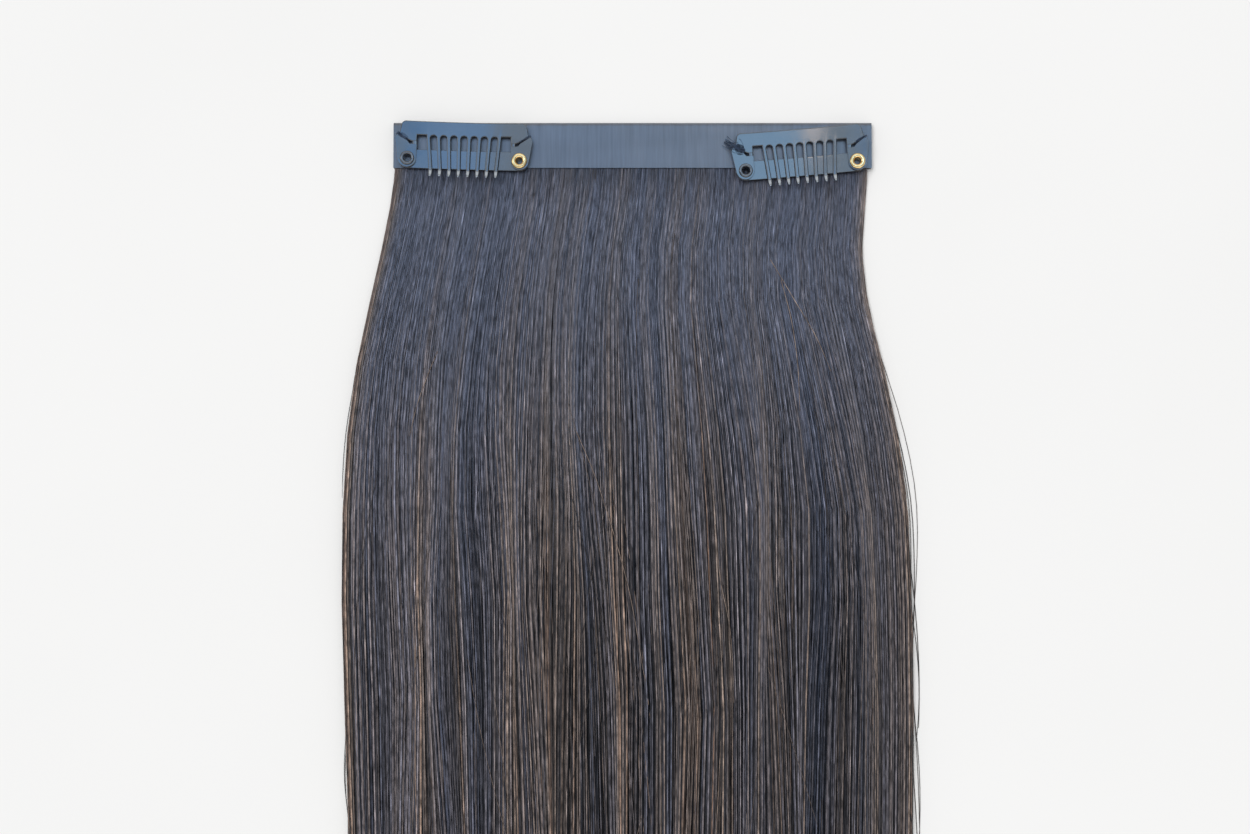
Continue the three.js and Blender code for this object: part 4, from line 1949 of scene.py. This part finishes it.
@dataclass
class Stitch:
    """Thread that sews one end of a clip's comb to the band: over the edge and down the slit."""

    clip: SnapClip
    end: ClipEnd
    wad: Wad
    seam: tuple[SeamPoint, ...] = (
        SeamPoint(16.7, 6.25, 16.2, -0.25),
        SeamPoint(16.0, 5.95, 16.2, 0.0),
        SeamPoint(15.2, 5.45, 15.0, 0.05),
        SeamPoint(14.4, 4.95, 14.0, 0.02),
        SeamPoint(13.85, 4.55, 14.0, -0.35),
    )
    seam_end: Span = (13.6, 4.35)
    under_strap: float = 0.05
    rise: float = 0.5
    rise_share: float = 0.7
    rise_shift: Span = (5.0, 1.9)
    fray_start: float = 0.5
    fray_power: float = 0.6
    end_loss: float = 0.25
    bend_radians: Span = (2.0, 6.0)
    swell: float = 0.75
    fan: float = 0.8
    twist_radians: Span = (5.0, 16.0)
    twist_width: float = 0.12
    twist_height: float = 0.1
    stack: float = 0.07
    across: Rgb = (-0.5, 0.866, 0.0)
    radius: float = 0.06
    radius_spread: Span = (0.7, 1.2)
    station_count: int = 18
    thread_sides: int = 5
    map_rows: int = 1
    tone: float = 0.02
    held_u: float = 16.0
    held_v: float = 6.0

    def build(self, material: bpy.types.Material) -> None:
        """Makes the thread, which runs between the band and the comb.

        Args:
            material: Its finish.
        """
        place, height = self.clip.place, self.clip.sheet_z
        name = f"{self.clip.side.value}_stitch_{self.end.name.lower()}"
        sideways = np.array(place.to_3x3() @ Vector((0.0, 1.0, 0.0))) / MM
        mesh = self._strands().mesh(name, self.thread_sides, self.map_rows, sideways)
        piece = add_piece(name, mesh, material)
        ends = (self.end.value * u for u in (self.wad.reach, self.held_u))
        points = [place @ Vector((u, self.held_v, height)) for u in ends]
        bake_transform(piece)

    def _route(self) -> np.ndarray:
        """The thread's course, for the end of the clip that lies towards its own +X.

        Returns:
            Points from the band, over the sheet's edge and down into the slit.
        """
        top = self.clip.sheet_z + self.clip.sheet
        lying = self.clip.strap_z - self.under_strap
        shift_u, shift_v = self.rise_shift
        reach, reach_v = self.wad.reach, self.wad.reach_v
        return np.array([
            (reach, reach_v, lying),
            (reach * self.rise_share + shift_u, reach_v * self.rise_share + shift_v, lying + self.rise),
            *((p.u, p.v, top + self.clip.arch_at(p.top_u) + p.lift) for p in self.seam),
            (*self.seam_end, lying),
        ])

    def _strands(self) -> Strands:
        """The threads, twisted and frayed along their course.

        Returns:
            Their paths, radii and tones.
        """
        wad, route, column = self.wad, self._route(), (self.wad.threads, 1)
        rng = np.random.default_rng(sum(map(ord, self.clip.side.value + self.end.name)))
        begin = self.fray_start * wad.fray * rng.uniform(0.0, 1.0, column) ** self.fray_power
        finish = 1.0 - self.end_loss * rng.uniform(0.0, 1.0, column) ** 2
        share = begin + (finish - begin) * np.linspace(0.0, 1.0, self.station_count)
        places, known = share * (len(route) - 1), np.arange(len(route))
        line = np.stack([smooth_through(places, known, route[:, i]) for i in range(3)], axis=2)
        bends = share * rng.uniform(*self.bend_radians, column) + rng.uniform(0.0, FULL_TURN, column)
        swell = np.sin(math.pi * share) * np.sin(bends) * rng.normal(0.0, self.swell, column)
        fan = wad.fray * (1.0 - share) ** 2 * rng.normal(0.0, self.fan, column)
        turns = share * rng.uniform(*self.twist_radians, column) + rng.uniform(0.0, FULL_TURN, column)
        aside = wad.bulk * (swell + fan + self.twist_width * np.sin(turns))
        lift = wad.bulk * (self.twist_height * np.cos(turns) + rng.normal(0.0, self.stack, column))
        paths = line + aside[..., None] * np.array(self.across) + lift[..., None] * UP
        paths[:, :, 0] *= self.end.value
        local = np.concatenate([paths, np.ones((*share.shape, 1))], axis=2)
        paths = (local @ np.array(self.clip.place).T)[:, :, :3] / MM
        radii = self.radius * rng.uniform(*self.radius_spread, column) * np.ones(self.station_count)
        tones = np.full((*radii.shape, 3), self.tone)
        return Strands(paths, radii, tones, np.arange(wad.threads))


def clip_place(joint: dict, bar_top: float) -> Matrix:
    """Works out where a clip sits from the hinge that its bar tips up on.

    Args:
        joint: The hinge, along the bar's top edge.
        bar_top: How far that edge lies from the clip's rivet line.

    Returns:
        From the clip's own millimetres to metres in the frame.
    """
    along = -Vector(joint["axis"])
    hinge = Vector((*joint["pos_m"][:2], 0.0))
    back = Vector((0.0, 0.0, 1.0)).cross(along)
    turn = Matrix((along, back, (0.0, 0.0, 1.0))).transposed().to_4x4()
    return Matrix.Translation(hinge - back * bar_top * MM) @ turn @ TO_METRES


# The studio


@dataclass(frozen=True)
class ReflectionCard:
    """A large glowing card over or beside the object that shows only in glossy surfaces."""

    name: str
    place_m: Rgb
    size_m: Span
    radiance: float
    colour: Rgb
    faces_m: Rgb | None = None

    def build(self) -> None:
        """Adds the card, facing straight down unless it says where."""
        light = bpy.data.lights.new(self.name, "AREA")
        light.shape = "RECTANGLE"
        light.size, light.size_y = self.size_m
        light.energy = self.radiance * math.pi * self.size_m[0] * self.size_m[1]
        light.color = self.colour
        card = add_object(self.name, light)
        card.location = self.place_m
        if self.faces_m is not None:
            aim = Vector(self.faces_m) - card.location
            card.rotation_euler = aim.to_track_quat("-Z", "Y").to_euler()
        card.visible_diffuse = False


ORIGIN: Rgb = (0.0, 0.0, 0.0)
WARM_WHITE: Rgb = (1.0, 0.97, 0.92)


@dataclass
class Studio:
    """The floor, the light and the camera."""

    centre: Vector = field(default_factory=lambda: Vector((-1.9, -68.25, 1.0)) * MM)
    view_width_mm: float = 312.5
    lens_mm: float = 50.0
    sensor_mm: float = 36.0
    nearest_m: float = 0.01
    elevation_deg: float = 88.0
    floor_cells: int = 8
    floor_half_m: float = 4.0
    floor_z_mm: float = -0.05
    ambient: float = 0.45
    surround: float = 0.4
    backdrop: float = 0.9
    key_share: float = 0.57
    key_softness_deg: float = 38.0
    key_direction: Rgb = (0.3, -0.22, -0.92)
    cards: tuple[ReflectionCard, ...] = (
        ReflectionCard("grey_card_left", (-0.31, 0.24, 1.0), (0.22, 0.5), 1.4, (0.5, 0.7, 0.94)),
        ReflectionCard("sky_card_left", (-0.125, 0.24, 1.0), (0.15, 0.5), 2.5, (0.24, 0.54, 1.02)),
        ReflectionCard("deep_sky_card", (-0.025, 0.24, 1.0), (0.05, 0.5), 2.2, (0.12, 0.46, 1.02)),
        ReflectionCard("grey_card_right", (0.045, 0.24, 1.0), (0.09, 0.5), 1.3, (0.56, 0.8, 1.04)),
        ReflectionCard("cloud_card", (0.108, 0.265, 1.0), (0.036, 0.15), 5.4, (1.0, 0.86, 0.78)),
        ReflectionCard("haze_card", (0.108, 0.09, 1.0), (0.036, 0.2), 1.5, (0.5, 0.74, 1.04)),
        ReflectionCard("sky_card_right", (0.315, 0.24, 1.0), (0.37, 0.5), 2.8, (0.35, 0.67, 1.05)),
        ReflectionCard("back_card", (0.0, 1.0, 0.6), (1.8, 1.1), 0.6, WARM_WHITE, ORIGIN),
        ReflectionCard("front_card", (0.0, -1.0, 0.6), (1.8, 0.6), 1.2, WARM_WHITE, ORIGIN),
        ReflectionCard("side_card", (-1.0, 0.1, 0.5), (0.4, 1.4), 1.6, (0.86, 0.94, 1.0), ORIGIN),
    )

    def build(self, floor_material: bpy.types.Material) -> None:
        """Adds everything round the object.

        Args:
            floor_material: Finish of the floor.
        """
        self._build_floor(floor_material)
        world = bpy.data.worlds.new("studio")
        world.use_nodes = True
        background = world.node_tree.nodes["Background"]
        background.inputs["Color"].default_value = (1.0, 1.0, 1.0, 1.0)
        nodes = Nodes(world.node_tree)
        seen, mirrored = (
            nodes.node("ShaderNodeLightPath", output=ray) for ray in ("Is Camera Ray", "Is Glossy Ray")
        )
        glow = seen * (self.backdrop - self.ambient) + mirrored * (self.surround - self.ambient)
        nodes.feed(background.inputs["Strength"], glow + self.ambient)
        scene = bpy.context.scene
        scene.world = world
        scene.view_settings.view_transform = "Standard"
        self._build_key()
        for card in self.cards:
            card.build()
        scene.camera = self._camera()

    def _build_key(self) -> None:
        """Adds the soft main light, which lights the whole floor evenly."""
        light = bpy.data.lights.new("key", "SUN")
        light.angle = math.radians(self.key_softness_deg)
        direction = Vector(self.key_direction).normalized()
        light.energy = self.key_share * math.pi / -direction.z
        key = add_object("key", light)
        key.rotation_euler = direction.to_track_quat("-Z", "Y").to_euler()
        key.visible_glossy = False

    def _build_floor(self, material: bpy.types.Material) -> None:
        """Adds the floor, a hair's breadth under the object.

        Args:
            material: Its finish.
        """
        shape = bmesh.new()
        cells, half = self.floor_cells, self.floor_half_m / MM
        bmesh.ops.create_grid(shape, x_segments=cells, y_segments=cells, size=half)
        place = TO_METRES @ Matrix.Translation((0.0, 0.0, self.floor_z_mm))
        mesh = finished_mesh("floor", shape, place)
        mesh.materials.append(material)
        floor = add_object("floor", mesh)

    def _camera(self) -> bpy.types.Object:
        """Adds the camera, almost straight above the object.

        Returns:
            The camera.
        """
        data = bpy.data.cameras.new("camera")
        data.lens, data.sensor_width = self.lens_mm, self.sensor_mm
        data.clip_start = self.nearest_m
        distance = self.view_width_mm * MM * self.lens_mm / self.sensor_mm
        lift = math.radians(self.elevation_deg)
        camera = add_object("camera", data)
        camera.location = self.centre + Vector((0.0, -math.cos(lift), math.sin(lift))) * distance
        camera.rotation_euler = (math.radians(90.0) - lift, 0.0, 0.0)
        return camera


def main() -> None:
    """Builds the dressed extension round the frame."""
    logging.basicConfig(level=logging.INFO, format="%(name)s %(message)s")
    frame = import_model()
    Studio().build(FloorFinish().material())
    low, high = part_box("weft_band")
    band = FilmBand(low / MM, high / MM)
    band.build(FilmFinish().material())
    form, strand = CurtainForm(), StrandFinish().material()
    HairCurtain(form, band.slot_heights()).build(strand, MassFinish().material())
    LooseHairs(form).build(strand)
    enamel, brass, thread = (f.material() for f in (EnamelFinish(), BrassFinish(), ThreadFinish()))
    joints = {joint["name"]: joint for joint in frame["joints"]}
    for side in ClipSide:
        place = clip_place(joints[f"{side.value}_open"], SnapClip.bar_top)
        SnapClip(side, place).build(enamel, brass, thread)


if __name__ == "__main__":
    main()
